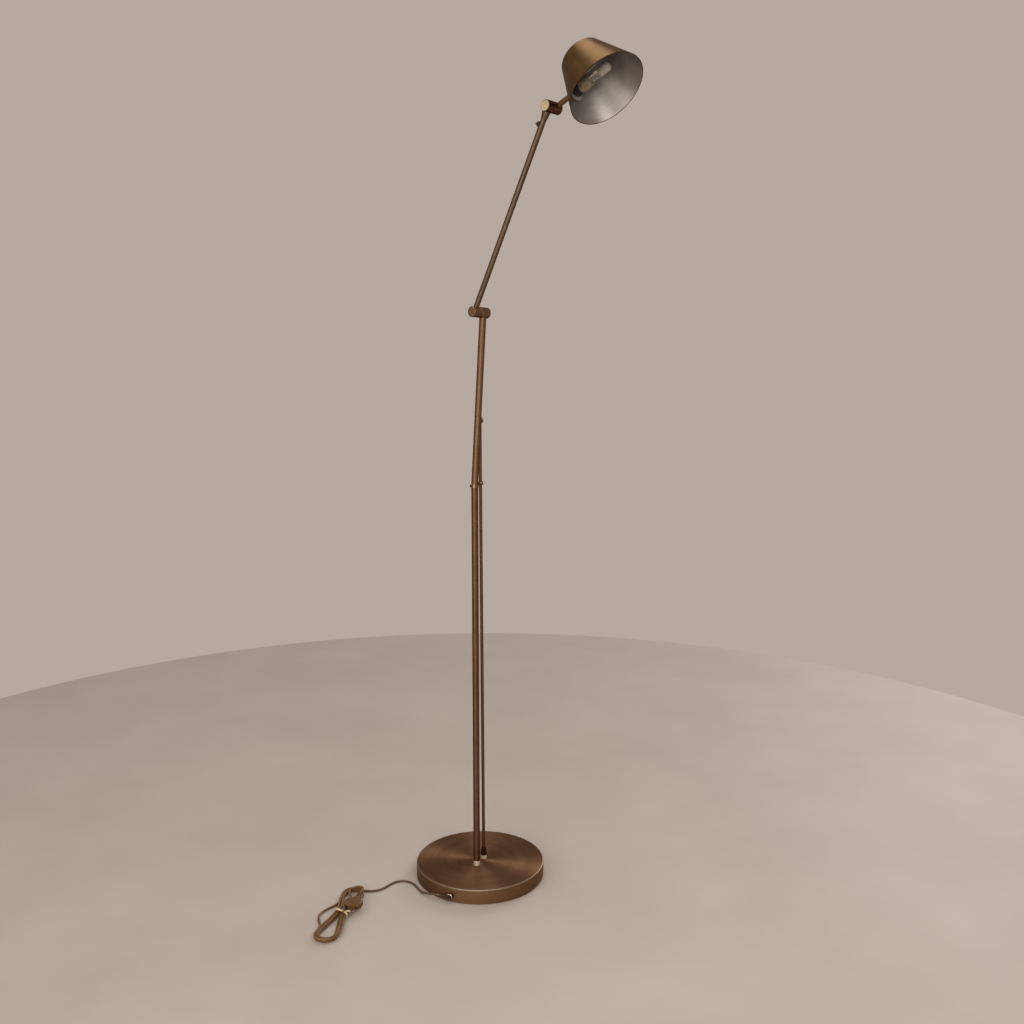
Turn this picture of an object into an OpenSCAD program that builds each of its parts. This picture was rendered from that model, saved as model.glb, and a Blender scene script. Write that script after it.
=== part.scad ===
// Bridge floor lamp: round weighted base, slim mast with a side rod, two friction knuckles and a cone shade.
// Origin: centre of the base on the floor. +Z is up, +X is the way the arm reaches, the knuckles turn about Y.

/* [Base] */
// Outer diameter of the base
base_d = 250; // [225:1:300]
// Height of the base above the floor
base_h = 28.7; // [26:0.1:40]
// Sheet thickness of the base cover
cover_wall = 1.2; // [0.8:0.1:1.6]
// Rounding of the cover's top edge
cover_edge = 2; // [1.4:0.1:4]
// Thickness of the floor pad
pad_h = 1.5; // [1:0.1:2]
// Thickness of the steel weight plate
weight_h = 8.4; // [7:0.1:8.8]
// Gap all round the weight plate inside the cover
weight_gap = 6; // [4:0.5:9]
// Height of the cord outlet above the floor
outlet_z = 12.6; // [12.4:0.1:14]
// Direction of the cord outlet, in degrees from +X
outlet_angle = -70.5; // [-80:0.5:-60]

/* [Lower mast] */
// Mast position along X
mast_x = 11.3; // [8:0.1:16]
// Mast position along Y
mast_y = -20.4; // [-26:0.1:-18]
// Outer diameter of the mast tubes
mast_d = 12.7; // [12:0.1:13.2]
// Wall of the mast tubes
mast_wall = 1; // [0.8:0.1:1.2]
// Height of the top of the lower mast tube
mast_top = 779; // [700:1:860]
// Height of the bright foot collar
collar_h = 9; // [5:0.5:12]

/* [Side rod] */
// Rod position along X
rod_x = 2.1; // [0:0.1:5]
// Rod position along Y
rod_y = 7.8; // [5:0.1:10]
// Diameter of the side rod
rod_d = 6; // [5:0.1:6.4]
// Lean of the side rod, in degrees
rod_lean = 0.24; // [0:0.02:0.3]
// Height of the centre of the ball finial
ball_z = 896; // [880:1:930]
// Diameter of the ball finial
ball_d = 13; // [10:0.5:14]
// Width across flats of the rod nut
rod_nut_af = 10.5; // [9:0.5:13]
// Height of the rod nut
rod_nut_h = 8.4; // [5:0.2:12]
// Diameter of the dark rod sleeve at its foot
sleeve_d = 12.5; // [10:0.5:14]
// Height of the dark rod sleeve
sleeve_h = 15; // [10:0.5:20]

/* [Coupling] */
// How far the bracket ring reaches below the top of the lower mast
ring_drop = 4.8; // [4:0.1:8]
// Wall of the bracket ring
ring_wall = 0.9; // [0.7:0.1:1.6]
// Diameter of the bead round the side rod
bead_d = 11; // [10:0.5:13]
// Height of the bead round the side rod
bead_h = 6.4; // [6:0.2:8]
// How far the bead sits above the bracket ring
bead_up = 1.8; // [0:0.2:4]
// Lean of the upper mast towards +Y
lean_side = 3.9; // [2:0.1:4.5]
// Lean of the upper mast towards +X
lean_forward = 0.4; // [0:0.1:2]
// Length of the spigot inside each tube
spigot_len = 32; // [20:1:45]

/* [Knuckles] */
// Length of the upper mast from the coupling to the knee axis
upper_len = 313.5; // [280:0.5:360]
// Diameter of both knuckles
knuckle_d = 19.5; // [19:0.1:21]
// Length of each half of the knee, without its lid
knee_half = 19.5; // [19:0.1:24]
// Length of each half of the elbow, without its lid
elbow_half = 16.1; // [15:0.1:18]
// Distance from the knee's parting face to the mast axis
knee_mast_y = 9.3; // [9:0.1:10.5]
// Distance from the knee's parting face to the arm's axis
knee_arm_y = 12.4; // [9:0.1:12.6]
// Thickness of the friction washer between two halves
washer_h = 0.6; // [0.4:0.1:1]
// Wall of a knuckle half
knuckle_wall = 2.6; // [2.2:0.1:2.8]
// Thickness of a knuckle half's inner web
web_h = 3.6; // [3:0.1:4]

/* [Arm] */
// Outer diameter of the arm tube
arm_d = 10; // [9:0.1:10.4]
// Wall of the arm tube
arm_wall = 1; // [0.8:0.1:1.4]
// Distance from the knee axis to the elbow axis
arm_len = 372; // [330:1:420]
// Angle between the upper mast and the arm
arm_angle = 24.5; // [15:0.1:35]
// Largest diameter of the flared neck under the elbow
neck_d = 15; // [12.5:0.5:15]
// Length of the flared neck
neck_h = 12; // [7:0.5:13]
// Distance of the switch below the elbow axis
switch_drop = 32.5; // [29:0.5:40]

/* [Head] */
// Diameter of the shade stem
stem_d = 9; // [8.6:0.1:9.4]
// Bore of the shade stem
stem_bore = 6; // [5.6:0.1:6.4]
// Angle of the stem above the knee's level line
stem_angle = 24.9; // [20:0.1:32]
// Distance from the elbow axis to the outside of the shade wall
stem_len = 43.4; // [38:0.1:60]
// Radius of the closed crown of the shade
crown_r = 37.2; // [33:0.1:40]
// Radius of the open mouth of the shade
mouth_r = 68; // [60:0.1:74]
// Depth of the shade along its axis
shade_h = 83.1; // [80:0.1:95]
// Sheet thickness of the shade
shade_wall = 1; // [0.8:0.1:1.2]
// Rounding of the crown's edge
crown_edge = 3; // [2:0.2:5]
// Distance along the wall from the crown's edge to the stem
stem_place = 32.4; // [26:0.1:34]
// Diameter of the bright washer inside the shade
shade_washer_d = 30; // [22:1:32]
// Diameter of the black holder base
holder_d = 20; // [17:0.5:21]
// Diameter of the ceramic lamp holder
ceramic_d = 19.5; // [18:0.5:21]
// Length of the ceramic lamp holder
ceramic_h = 22; // [18:0.5:26]
// Diameter of the frosted bulb capsule
bulb_d = 14.5; // [13:0.5:16]
// Length of the bulb outside its holder
bulb_h = 42; // [36:1:45]

/* [Cord] */
// Diameter of the mains cord
cord_d = 4.2; // [4:0.1:4.2]
// Half length of the hank's straight runs
hank_run = 72.5; // [72:0.5:80]
// Half width of the hank at its folds
hank_fold = 21.5; // [21.5:0.5:24]
// Half width of the hank at its tied waist
hank_waist = 10.6; // [10.6:0.2:12]

/* [Hidden] */
$fn = 64;

fit = 0.05;               // running fit, radial
seat = 0.02;              // soldered, screwed or glued seat, radial
touch = 0.2;              // gap between faces of different bodies
eps = 0.01;

// base
base_r = base_d / 2;
cover_lift = 0.5;         // the skirt ends just above the floor
weight_top = pad_h + weight_h;
cover_under = base_h - cover_wall;
nipple_d = mast_d - 2 * mast_wall - 2 * seat;
nipple_bore = 6.8;
nipple_foot = pad_h + 1;
nut_recess = 4.6;         // depth of the nut's recess under the plate
mast_nut_af = 14;
mast_nut_h = 3.6;
nipple_top = base_h + collar_h + 22;
rod_foot = pad_h + 2.4;

rod_lean_turn = -136;     // the rod leans this way, in degrees from +X

// coupling: the upper mast leans about a point just above the lower mast
tilt_z = mast_top + 0.5;
spigot_bore = 6;
tube_bore = mast_d - 2 * mast_wall;
ring_top = mast_top + 0.3;
ring_mid = (ring_top + mast_top - ring_drop) / 2;
bead_mid = ring_mid + bead_up;
rod_shift = (bead_mid - base_h) * tan(rod_lean);    // the rod has leaned this far at the bead
rod_dx = rod_x + rod_shift * cos(rod_lean_turn) - mast_x;
rod_dy = rod_y + rod_shift * sin(rod_lean_turn) - mast_y;
rod_gap = norm([rod_dx, rod_dy]);
rod_turn = atan2(rod_dy, rod_dx);
screw_turn = -136;        // the small clamp screw points this way
upper_foot = 1.4;         // clear height of the upper tube above the tilt point

// knuckles
half_gap = washer_h / 2 + 0.05;
cavity_r = knuckle_d / 2 - knuckle_wall;
pin_d = 8;
pin_bore = 5;
pin_nut_af = 11;
pin_nut_h = 2.4;
elbow_y = elbow_half / 2;
lid_h = 1;
lid_spigot = 2;            // the lid reaches this far into its barrel

// head
half_angle = atan((mouth_r - crown_r) / shade_h);
hit_r = crown_r + stem_place * sin(half_angle);
crown_px = -hit_r * sin(half_angle) - stem_place * cos(half_angle) * cos(half_angle);
crown_pz = stem_len + hit_r * cos(half_angle) - stem_place * cos(half_angle) * sin(half_angle);
curve_r = (hit_r - shade_wall) / cos(half_angle);
function sag(r) = curve_r - sqrt(curve_r * curve_r - r * r);
collar_d = 13;
collar_t = 3;
spacer_d = 13;
inner_face = stem_len + shade_wall;
shade_washer_h = 1.2;
washer_z = inner_face + sag(shade_washer_d / 2) + touch;
holder_z = washer_z + shade_washer_h;
holder_h = 14;
ceramic_z = holder_z + holder_h;
bulb_z = ceramic_z + ceramic_h;
neck_glass_h = 19;
socket_depth = 8;

// switch
boss_h = 5;
boss_foot_d = 12.4;
boss_top_d = 7.8;
trunnion_d = 4.6;
trunnion_w = 3.4;
boss_bore = 6.2;
lever_out = 7.4;
lever_tip = 12;           // the lever rests tipped down by this angle, and tips up by twice as much

// cables in the tubes
wire_d = 4.6;

// cord
bend_lead = 6;            // straight start and end of the hank
layer_z = 4.8;            // pitch of neighbouring turns at the folds
waist_step = 5.2;         // wider pitch of the turns at the waist
waist_lift = 1;           // the tie passes under the waist
turn_back = 1.75;         // turns wound inwards before the hank winds outwards again
hank_end = 3 + 5 / 6;     // turns in all
rings = 24;               // rings in a turn, with more on the runs that bulge or cross
hank_at = [-66, -294];
hank_turn = -57;
plug_x = -62;
plug_z = 15.9;
end_y = -7.5;             // the last run crosses over to here
end_fold = 12.8;          // radius of the last fold, which leads to the plug
floor_z = cord_d / 2 + 0.05;
stray_out = 28;           // one strand bulges out past the tie
stray_from = -50;
stray_to = 62;

// outlet boot
boot_r0 = base_r + 4.4;
boot_turn = -152;
boot_len = 20;
boot_at = [boot_r0 * cos(outlet_angle), boot_r0 * sin(outlet_angle), outlet_z];
boot_dir = [cos(boot_turn), sin(boot_turn), 0];
boot_tip = boot_at + boot_len * boot_dir;

// The free stretch of the cord, from the boot to the hank, laid along the floor.
cord_route = [
    [18, -134.5, 12.2], [9, -137, 10.8], [-1, -138, 8.6], [-11, -137.5, 6.2], [-21, -136, 4], [-31, -133, 2.6],
    [-41, -129.5, 2.2], [-51, -126.5, 2.2], [-61, -125, 2.2], [-71, -126.5, 2.2], [-80, -131.5, 2.2],
    [-86, -139.5, 2.2], [-88, -149, 2.2], [-87.5, -159, 2.2], [-86, -169, 2.2], [-85.5, -179, 2.2],
    [-87.5, -188.5, 2.2], [-92.5, -197.5, 2.2], [-100, -204.5, 2.2]];

// ---------- frames ----------
module on_mast() { translate([mast_x, mast_y, 0]) children(); }
module on_rod() {
    translate([rod_x, rod_y, base_h]) rotate([0, 0, rod_lean_turn]) rotate([0, rod_lean, 0])
        rotate([0, 0, -rod_lean_turn]) translate([0, 0, -base_h]) children();
}
module upper_frame() {
    translate([mast_x, mast_y, tilt_z]) rotate([-lean_side, 0, 0]) rotate([0, lean_forward, 0]) children();
}
module knee_frame() { upper_frame() translate([0, -knee_mast_y, upper_len]) children(); }
module arm_frame() { knee_frame() translate([0, -knee_arm_y, 0]) rotate([0, arm_angle, 0]) children(); }
module elbow_frame() { arm_frame() translate([0, elbow_y, arm_len]) rotate([0, -arm_angle, 0]) children(); }
module stem_frame() { elbow_frame() translate([0, elbow_y, 0]) rotate([0, 90 - stem_angle, 0]) children(); }
module shade_frame() {
    stem_frame() translate([crown_px, 0, crown_pz]) rotate([0, 90 - half_angle, 0]) children();
}
module along_y(from, to) { translate([0, from, 0]) rotate([-90, 0, 0]) linear_extrude(to - from) children(); }
module switch_frame() { arm_frame() translate([0, 0, arm_len - switch_drop]) rotate([0, -90, 0]) children(); }
module hank_frame() { translate([hank_at.x, hank_at.y, 0]) rotate([0, 0, hank_turn]) children(); }

// ---------- shared shapes ----------
module ring(d, bore, h) {
    difference() {
        cylinder(d = d, h = h);
        translate([0, 0, -1]) cylinder(d = bore, h = h + 2);
    }
}
module hex_nut(af, bore, h) {
    difference() {
        cylinder(d = af / cos(30), h = h, $fn = 6);
        translate([0, 0, -1]) cylinder(d = bore, h = h + 2);
    }
}
module rod_between(a, b, d) {
    v = b - a;
    translate(a) rotate([0, acos(v.z / norm(v)), atan2(v.y, v.x)]) cylinder(d = d, h = norm(v));
}

// ---------- base ----------
function arc(cx, cy, r, from, to, n) = [for (i = [0:n]) let (a = from + (to - from) * i / n)
    [cx + r * cos(a), cy + r * sin(a)]];

module base_cover() {
    inner_edge = max(0.2, cover_edge - cover_wall);
    color("#6d5138") difference() {
        rotate_extrude($fn = 128) polygon(concat(
            [[0, base_h]],
            arc(base_r - cover_edge, base_h - cover_edge, cover_edge, 90, 0, 6),
            [[base_r, cover_lift], [base_r - cover_wall, cover_lift]],
            arc(base_r - cover_wall - inner_edge, cover_under - inner_edge, inner_edge, 0, 90, 4),
            [[0, cover_under]]));
        on_mast() translate([0, 0, cover_under - 1]) cylinder(d = nipple_d + 2 * seat, h = cover_wall + 2);
        on_rod() translate([0, 0, cover_under - 1]) cylinder(d = rod_d + 2 * seat, h = cover_wall + 2);
        rotate([0, 0, outlet_angle]) translate([base_r - 4, 0, outlet_z])
            rotate([0, 90, 0]) cylinder(d = gland_neck_d + 2 * seat, h = 8);
    }
}

module base_weight() {
    color("#3a3a3c") difference() {
        translate([0, 0, pad_h]) cylinder(r = base_r - cover_wall - weight_gap, h = weight_h, $fn = 128);
        on_mast() translate([0, 0, 0]) cylinder(d = nipple_d + 2 * seat, h = base_h);
        on_mast() cylinder(d = mast_nut_af / cos(30) + 2, h = pad_h + nut_recess);
        on_rod() translate([0, 0, rod_foot - 1]) cylinder(d = rod_d + 2 * seat, h = base_h);
    }
}

module base_pad() {
    color("#2b2a28") cylinder(r = base_r - cover_wall - 0.6, h = pad_h, $fn = 128);
}

module mast_nipple() {
    color("#b79b62") on_mast() difference() {
        translate([0, 0, nipple_foot]) ring(nipple_d, nipple_bore, nipple_top - nipple_foot);
        translate([0, 0, outlet_z]) rotate([0, 0, cable_turn]) rotate([0, 90, 0])
            cylinder(d = wire_d + 1, h = mast_d);
    }
}

module mast_nut() {
    color("#b9b9b4") on_mast() translate([0, 0, pad_h + nut_recess - mast_nut_h])
        hex_nut(mast_nut_af, nipple_d + 2 * seat, mast_nut_h);
}

module mast_spacer() {
    color("#b9b9b4") on_mast() difference() {
        translate([0, 0, weight_top]) ring(mast_d + 4, nipple_d + 2 * seat, cover_under - weight_top);
        translate([0, 0, outlet_z]) rotate([0, 0, cable_turn]) rotate([0, 90, 0])
            cylinder(d = wire_d + 1, h = mast_d + 4);
    }
}

module foot_collar() {
    collar_r = mast_d / 2 - 0.2;
    bore_r = nipple_d / 2 + seat;
    color("#cdb98c") on_mast() translate([0, 0, base_h]) rotate_extrude() polygon([
        [bore_r, 0], [collar_r, 0], [collar_r, collar_h - 1], [collar_r - 0.5, collar_h], [bore_r, collar_h]]);
}

// ---------- lower mast, side rod and coupling ----------
module lower_mast() {
    foot = base_h + collar_h;
    color("#7a5a41") on_mast() translate([0, 0, foot]) ring(mast_d, tube_bore, mast_top - foot);
}

module side_rod() {
    color("#765842") on_rod() translate([0, 0, rod_foot]) cylinder(d = rod_d, h = ball_z - rod_foot);
}

module rod_nut() {
    color("#cbb588") on_rod() translate([0, 0, base_h + seat]) rotate([0, 0, 15])
        hex_nut(rod_nut_af, rod_d + 2 * seat, rod_nut_h);
}

module rod_sleeve() {
    foot = base_h + seat + rod_nut_h;
    color("#2a2420") on_rod() difference() {
        union() {
            translate([0, 0, foot]) cylinder(d = sleeve_d, h = 4);
            translate([0, 0, foot + 4 - eps]) cylinder(d1 = sleeve_d, d2 = rod_d + 2.4, h = sleeve_h - 4);
        }
        cylinder(d = rod_d + 2 * seat, h = foot + sleeve_h + 1);
    }
}

module rod_finial() {
    color("#6e513a") on_rod() difference() {
        translate([0, 0, ball_z]) sphere(d = ball_d);
        translate([0, 0, ball_z - ball_d]) cylinder(d = rod_d + 2 * seat, h = ball_d);
    }
}

module coupling_bracket() {
    bar_w = 4;
    bar_h = 3.6;
    color("#8a6a4c") difference() {
        union() {
            on_mast() translate([0, 0, mast_top - ring_drop])
                cylinder(d = mast_d + 2 * ring_wall, h = ring_top - mast_top + ring_drop);
            on_rod() translate([0, 0, bead_mid]) intersection() {
                sphere(d = bead_d);
                cylinder(d = bead_d, h = bead_h, center = true);
            }
            on_mast() rotate([0, 0, rod_turn]) rotate([90, 0, 0]) translate([0, 0, -bar_w / 2])
                linear_extrude(bar_w) polygon([
                    [0, ring_mid - bar_h / 2], [rod_gap, bead_mid - bar_h / 2],
                    [rod_gap, bead_mid + bar_h / 2], [0, ring_mid + bar_h / 2]]);
        }
        on_mast() translate([0, 0, mast_top - ring_drop - 2])
            cylinder(d = mast_d + 2 * seat, h = ring_drop + 6);
        on_rod() translate([0, 0, bead_mid - bead_h]) cylinder(d = rod_d + 2 * seat, h = 2 * bead_h);
        on_mast() translate([0, 0, ring_mid]) rotate([0, 0, screw_turn]) rotate([0, 90, 0])
            cylinder(d = 3 + 2 * seat, h = mast_d);
    }
}

module bracket_screw() {
    from = mast_d / 2 + seat + 0.02;
    face = mast_d / 2 + ring_wall + 0.1;
    color("#1f1a17") on_mast() translate([0, 0, ring_mid]) rotate([0, 0, screw_turn]) rotate([0, 90, 0]) {
        translate([0, 0, from]) cylinder(d = 3, h = face - from + eps);
        translate([0, 0, face]) cylinder(d = 4.8, h = 1);
        translate([0, 0, face + 1 - eps]) cylinder(d1 = 4.8, d2 = 3.6, h = 0.6);
    }
}

module coupling_spigot() {
    spigot_d = tube_bore - 2 * fit;
    color("#b79b62") difference() {
        union() {
            on_mast() translate([0, 0, mast_top - spigot_len]) cylinder(d = spigot_d, h = spigot_len + 0.5);
            on_mast() translate([0, 0, mast_top]) cylinder(d = mast_d - 0.4, h = 0.9);
            upper_frame() cylinder(d = spigot_d, h = spigot_len);
        }
        on_mast() translate([0, 0, mast_top - spigot_len - 1])
            cylinder(d = spigot_bore + 0.8, h = spigot_len + 2);
        upper_frame() translate([0, 0, -0.5]) cylinder(d = spigot_bore, h = spigot_len + 2);
    }
}

module upper_mast() {
    head = upper_len - cavity_r - 0.4;
    color("#7a5a41") upper_frame() translate([0, 0, upper_foot]) ring(mast_d, tube_bore, head - upper_foot);
}

// ---------- knuckles: two hollow halves on a hollow threaded pin ----------
module half_body(length, tube_y, tube_d, dir) {
    difference() {
        along_y(half_gap, length) circle(d = knuckle_d);
        along_y(half_gap + web_h, length + 1) circle(r = cavity_r);
        along_y(-1, length) circle(d = pin_d + 2 * fit);
        translate([0, tube_y, 0]) rotate([0, dir, 0]) cylinder(d = tube_d + 2 * seat, h = knuckle_d);
    }
}
module knuckle_pin() {
    reach = half_gap + web_h + pin_nut_h + 0.4;
    along_y(-reach, reach) difference() {
        circle(d = pin_d);
        circle(d = pin_bore);
    }
}
module knuckle_nuts() {
    for (side = [-1, 1])
        translate([0, side * (half_gap + web_h + 0.05 + pin_nut_h / 2), 0]) rotate([90, 0, 0])
            translate([0, 0, -pin_nut_h / 2]) hex_nut(pin_nut_af, pin_d + 2 * seat, pin_nut_h);
}
module friction_washer() {
    along_y(-washer_h / 2, washer_h / 2) difference() {
        circle(d = knuckle_d - 0.8);
        circle(d = pin_d + 2 * fit);
    }
}

module knee_lower() {
    color("#6f5139") knee_frame() half_body(knee_half, knee_mast_y, mast_d, 180);
}
module knee_upper() {
    color("#6f5139") knee_frame() mirror([0, 1, 0]) half_body(knee_half, knee_arm_y, arm_d, arm_angle);
}
module knee_nipple() { color("#b79b62") knee_frame() knuckle_pin(); }
module knee_nuts() { color("#b9b9b4") knee_frame() knuckle_nuts(); }
module knee_washer() { color("#1d1b1a") knee_frame() friction_washer(); }
module lid(half) {
    along_y(half, half + lid_h) circle(d = knuckle_d - 0.5);
    along_y(half - lid_spigot, half + lid_h / 2) circle(r = cavity_r - seat);
}
module knee_cap_far() { color("#8c6a4a") knee_frame() lid(knee_half); }
module knee_cap_near() { color("#b08a63") knee_frame() mirror([0, 1, 0]) lid(knee_half); }

// ---------- arm ----------
module upper_arm() {
    foot = cavity_r + 0.4;
    color("#7b5b42") arm_frame() translate([0, 0, foot])
        ring(arm_d, arm_d - 2 * arm_wall, arm_len - 2 * foot);
}

module arm_neck() {
    top = arm_len - knuckle_d / 2 + 0.6;
    color("#5f432f") difference() {
        arm_frame() translate([0, 0, top - neck_h]) difference() {
            cylinder(d1 = arm_d + 0.8, d2 = neck_d, h = neck_h);
            translate([0, 0, -1]) cylinder(d = arm_d + 2 * seat, h = neck_h + 2);
        }
        elbow_frame() along_y(-elbow_half - 1, elbow_half) circle(d = knuckle_d + 2 * seat);
    }
}

module switch_boss() {
    color("#6a4c36") difference() {
        switch_frame() translate([0, 0, arm_d / 2 - 2.4]) difference() {
            cylinder(d1 = boss_foot_d, d2 = boss_top_d, h = boss_h + 2.4);
            translate([0, 0, -1]) cylinder(d = boss_bore, h = boss_h + 5);
        }
        arm_frame() cylinder(d = arm_d + 2 * seat, h = arm_len);
    }
}

module switch_lever() {
    pivot = arm_d / 2 + 3;
    color("#8a6a4c") switch_frame() translate([0, 0, pivot]) rotate([0, -lever_tip, 0]) {
        translate([0, -trunnion_w / 2, 0]) rotate([-90, 0, 0]) cylinder(d = trunnion_d, h = trunnion_w);
        cylinder(d1 = 3.2, d2 = 2.4, h = lever_out - 1.2);
        translate([0, 0, lever_out - 1.2]) sphere(d = 2.4);
    }
}

module switch_body() {
    color("#ece9e0") arm_frame() translate([0, 0, arm_len - switch_drop - 9]) difference() {
        cylinder(d = arm_d - 2 * arm_wall - 2 * seat, h = 18);
        translate([1.2, -5, -1]) cube([5, 10, 20]);
    }
}

module elbow_lower() {
    color("#6f5139") elbow_frame() mirror([0, 1, 0]) half_body(elbow_half, elbow_y, arm_d, 180 + arm_angle);
}
module elbow_upper() {
    color("#6f5139") elbow_frame() half_body(elbow_half, elbow_y, stem_d, 90 - stem_angle);
}
module elbow_nipple() { color("#b79b62") elbow_frame() knuckle_pin(); }
module elbow_nuts() { color("#b9b9b4") elbow_frame() knuckle_nuts(); }
module elbow_washer() { color("#1d1b1a") elbow_frame() friction_washer(); }
module elbow_cap_near() { color("#d8c298") elbow_frame() mirror([0, 1, 0]) lid(elbow_half); }
module elbow_cap_far() { color("#8c6a4a") elbow_frame() lid(elbow_half); }

// ---------- head ----------
module shade_stem() {
    foot = cavity_r + 0.4;
    color("#6f5139") stem_frame() translate([0, 0, foot]) ring(stem_d, stem_bore, holder_z + 5 - foot);
}

module stem_collar() {
    color("#6f5139") stem_frame() translate([0, 0, stem_len - touch - collar_t])
        ring(collar_d, stem_d + 2 * seat, collar_t);
}

module shade() {
    c = crown_edge;
    ci = max(0.4, crown_edge - shade_wall);
    t = shade_wall;
    k = tan(45 - half_angle / 2);
    inner_crown = crown_r - t / cos(half_angle) + t * tan(half_angle);
    inner_mouth = mouth_r - t / cos(half_angle);
    color("#8b6a45") difference() {
        shade_frame() rotate_extrude($fn = 128) polygon(concat(
            [[0, 0]],
            arc(crown_r - c * k, c, c, -90, -half_angle, 6),
            [[mouth_r, shade_h], [inner_mouth, shade_h]],
            arc(inner_crown - ci * k, t + ci, ci, -half_angle, -90, 5),
            [[0, t]]));
        stem_frame() translate([0, 0, stem_len - 10]) cylinder(d = stem_d + 2 * fit, h = 20);
    }
}

module shade_washer() {
    spacer_z = inner_face + sag(spacer_d / 2) + touch;
    color("#dcd8d0") stem_frame() {
        translate([0, 0, spacer_z]) ring(spacer_d, stem_d + 2 * seat, washer_z - spacer_z + eps);
        translate([0, 0, washer_z]) ring(shade_washer_d, stem_d + 2 * seat, shade_washer_h);
    }
}

module holder_base() {
    color("#171513") stem_frame() translate([0, 0, holder_z]) difference() {
        union() {
            cylinder(d = holder_d - 3, h = 3);
            translate([0, 0, 3 - eps]) cylinder(d = holder_d, h = holder_h - 3);
        }
        translate([0, 0, -1]) cylinder(d = stem_d + 2 * seat, h = 6.2);
        translate([0, 0, 5 - eps]) cylinder(d = stem_bore, h = holder_h);
    }
}

module holder_ceramic() {
    notch_w = 6;
    color("#e3d6b4") stem_frame() translate([0, 0, ceramic_z]) difference() {
        cylinder(d = ceramic_d, h = ceramic_h);
        translate([0, 0, ceramic_h - socket_depth]) linear_extrude(socket_depth + 1)
            square([14.4, 4.8], center = true);
        translate([0, 0, -1]) cylinder(d = wire_d + 1, h = 5);
        for (side = [-1, 1]) {
            translate([-notch_w / 2, side * (ceramic_d / 2) - 1.4, -1]) cube([notch_w, 2.8, 7]);
            translate([side * 5, 0, ceramic_h - socket_depth - 6]) cylinder(d = 2.8, h = 7);
        }
    }
}

module bulb_base() {
    foot = bulb_z - socket_depth + 0.5;
    color("#c9c9c4") stem_frame() {
        translate([0, 0, foot]) linear_extrude(bulb_z - foot + 2) square([14, 4.4], center = true);
        translate([0, 0, bulb_z + 0.5]) cylinder(d1 = 11.5, d2 = bulb_d - 1, h = neck_glass_h - 0.5);
    }
}

module bulb_capsule() {
    tip = 3;
    len = bulb_h - neck_glass_h;
    color("#f4efe6") stem_frame() translate([0, 0, bulb_z + neck_glass_h]) rotate_extrude() polygon(concat(
        [[0, 0], [bulb_d / 2 - 0.4, 0], [bulb_d / 2, 0.6]],
        arc(bulb_d / 2 - tip, len - tip, tip, 0, 90, 6),
        [[0, len]]));
}

module bulb_pins() {
    foot = bulb_z - socket_depth - 5;
    color("#b8b8b8") stem_frame() for (side = [-1, 1])
        translate([side * 5, 0, foot]) cylinder(d = 2, h = 5.5);
}

// ---------- cables held inside ----------
cable_from = [(base_r - 9) * cos(outlet_angle), (base_r - 9) * sin(outlet_angle), outlet_z];
cable_turn = atan2(cable_from.y - mast_y, cable_from.x - mast_x);
cable_rise = base_h + collar_h + 12;

module cable_base() {
    corner = [mast_x, mast_y, outlet_z];
    below = wire_d / 2 + 0.4;
    color("#e9e4da") {
        rod_between(cable_from, corner, wire_d - 0.4);
        translate(corner - [0, 0, below]) cylinder(d = wire_d, h = cable_rise - outlet_z + below);
    }
}
module cable_lower_mast() {
    color("#e9e4da") on_mast() translate([0, 0, cable_rise])
        cylinder(d = wire_d, h = mast_top - 4 - cable_rise);
}
module cable_upper_mast() {
    color("#e9e4da") upper_frame() translate([0, 0, 2]) cylinder(d = wire_d, h = upper_len - cavity_r - 3);
}
module cable_arm() {
    foot = cavity_r + 1;
    color("#e9e4da") arm_frame() translate([-1.6, 0, foot])
        cylinder(d = wire_d, h = arm_len - switch_drop - 10.2 - foot);
}
module cable_head() {
    color("#e9e4da") stem_frame() translate([0, 0, cavity_r])
        cylinder(d = wire_d, h = ceramic_z + 3 - cavity_r);
}

// ---------- mains cord ----------
gland_neck_d = 8;
gland_head_d = 12.4;
gland_out = 8.4;

module cord_gland() {
    color("#4a3420") {
        rotate([0, 0, outlet_angle]) translate([base_r - 4, 0, outlet_z]) rotate([0, 90, 0]) difference() {
            union() {
                cylinder(d = gland_neck_d, h = 5);
                translate([0, 0, 4 + 0.05]) cylinder(d = gland_head_d, h = gland_out - 1.4);
                translate([0, 0, 4 + gland_out - 1.4])
                    cylinder(d1 = gland_head_d, d2 = gland_head_d - 2.4, h = 1.4);
            }
            translate([0, 0, -1]) cylinder(d = wire_d + 0.6, h = 5);
        }
        translate(boot_at) rotate([0, 90, boot_turn]) cylinder(d1 = 7.4, d2 = cord_d + 1, h = boot_len);
    }
}

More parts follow.
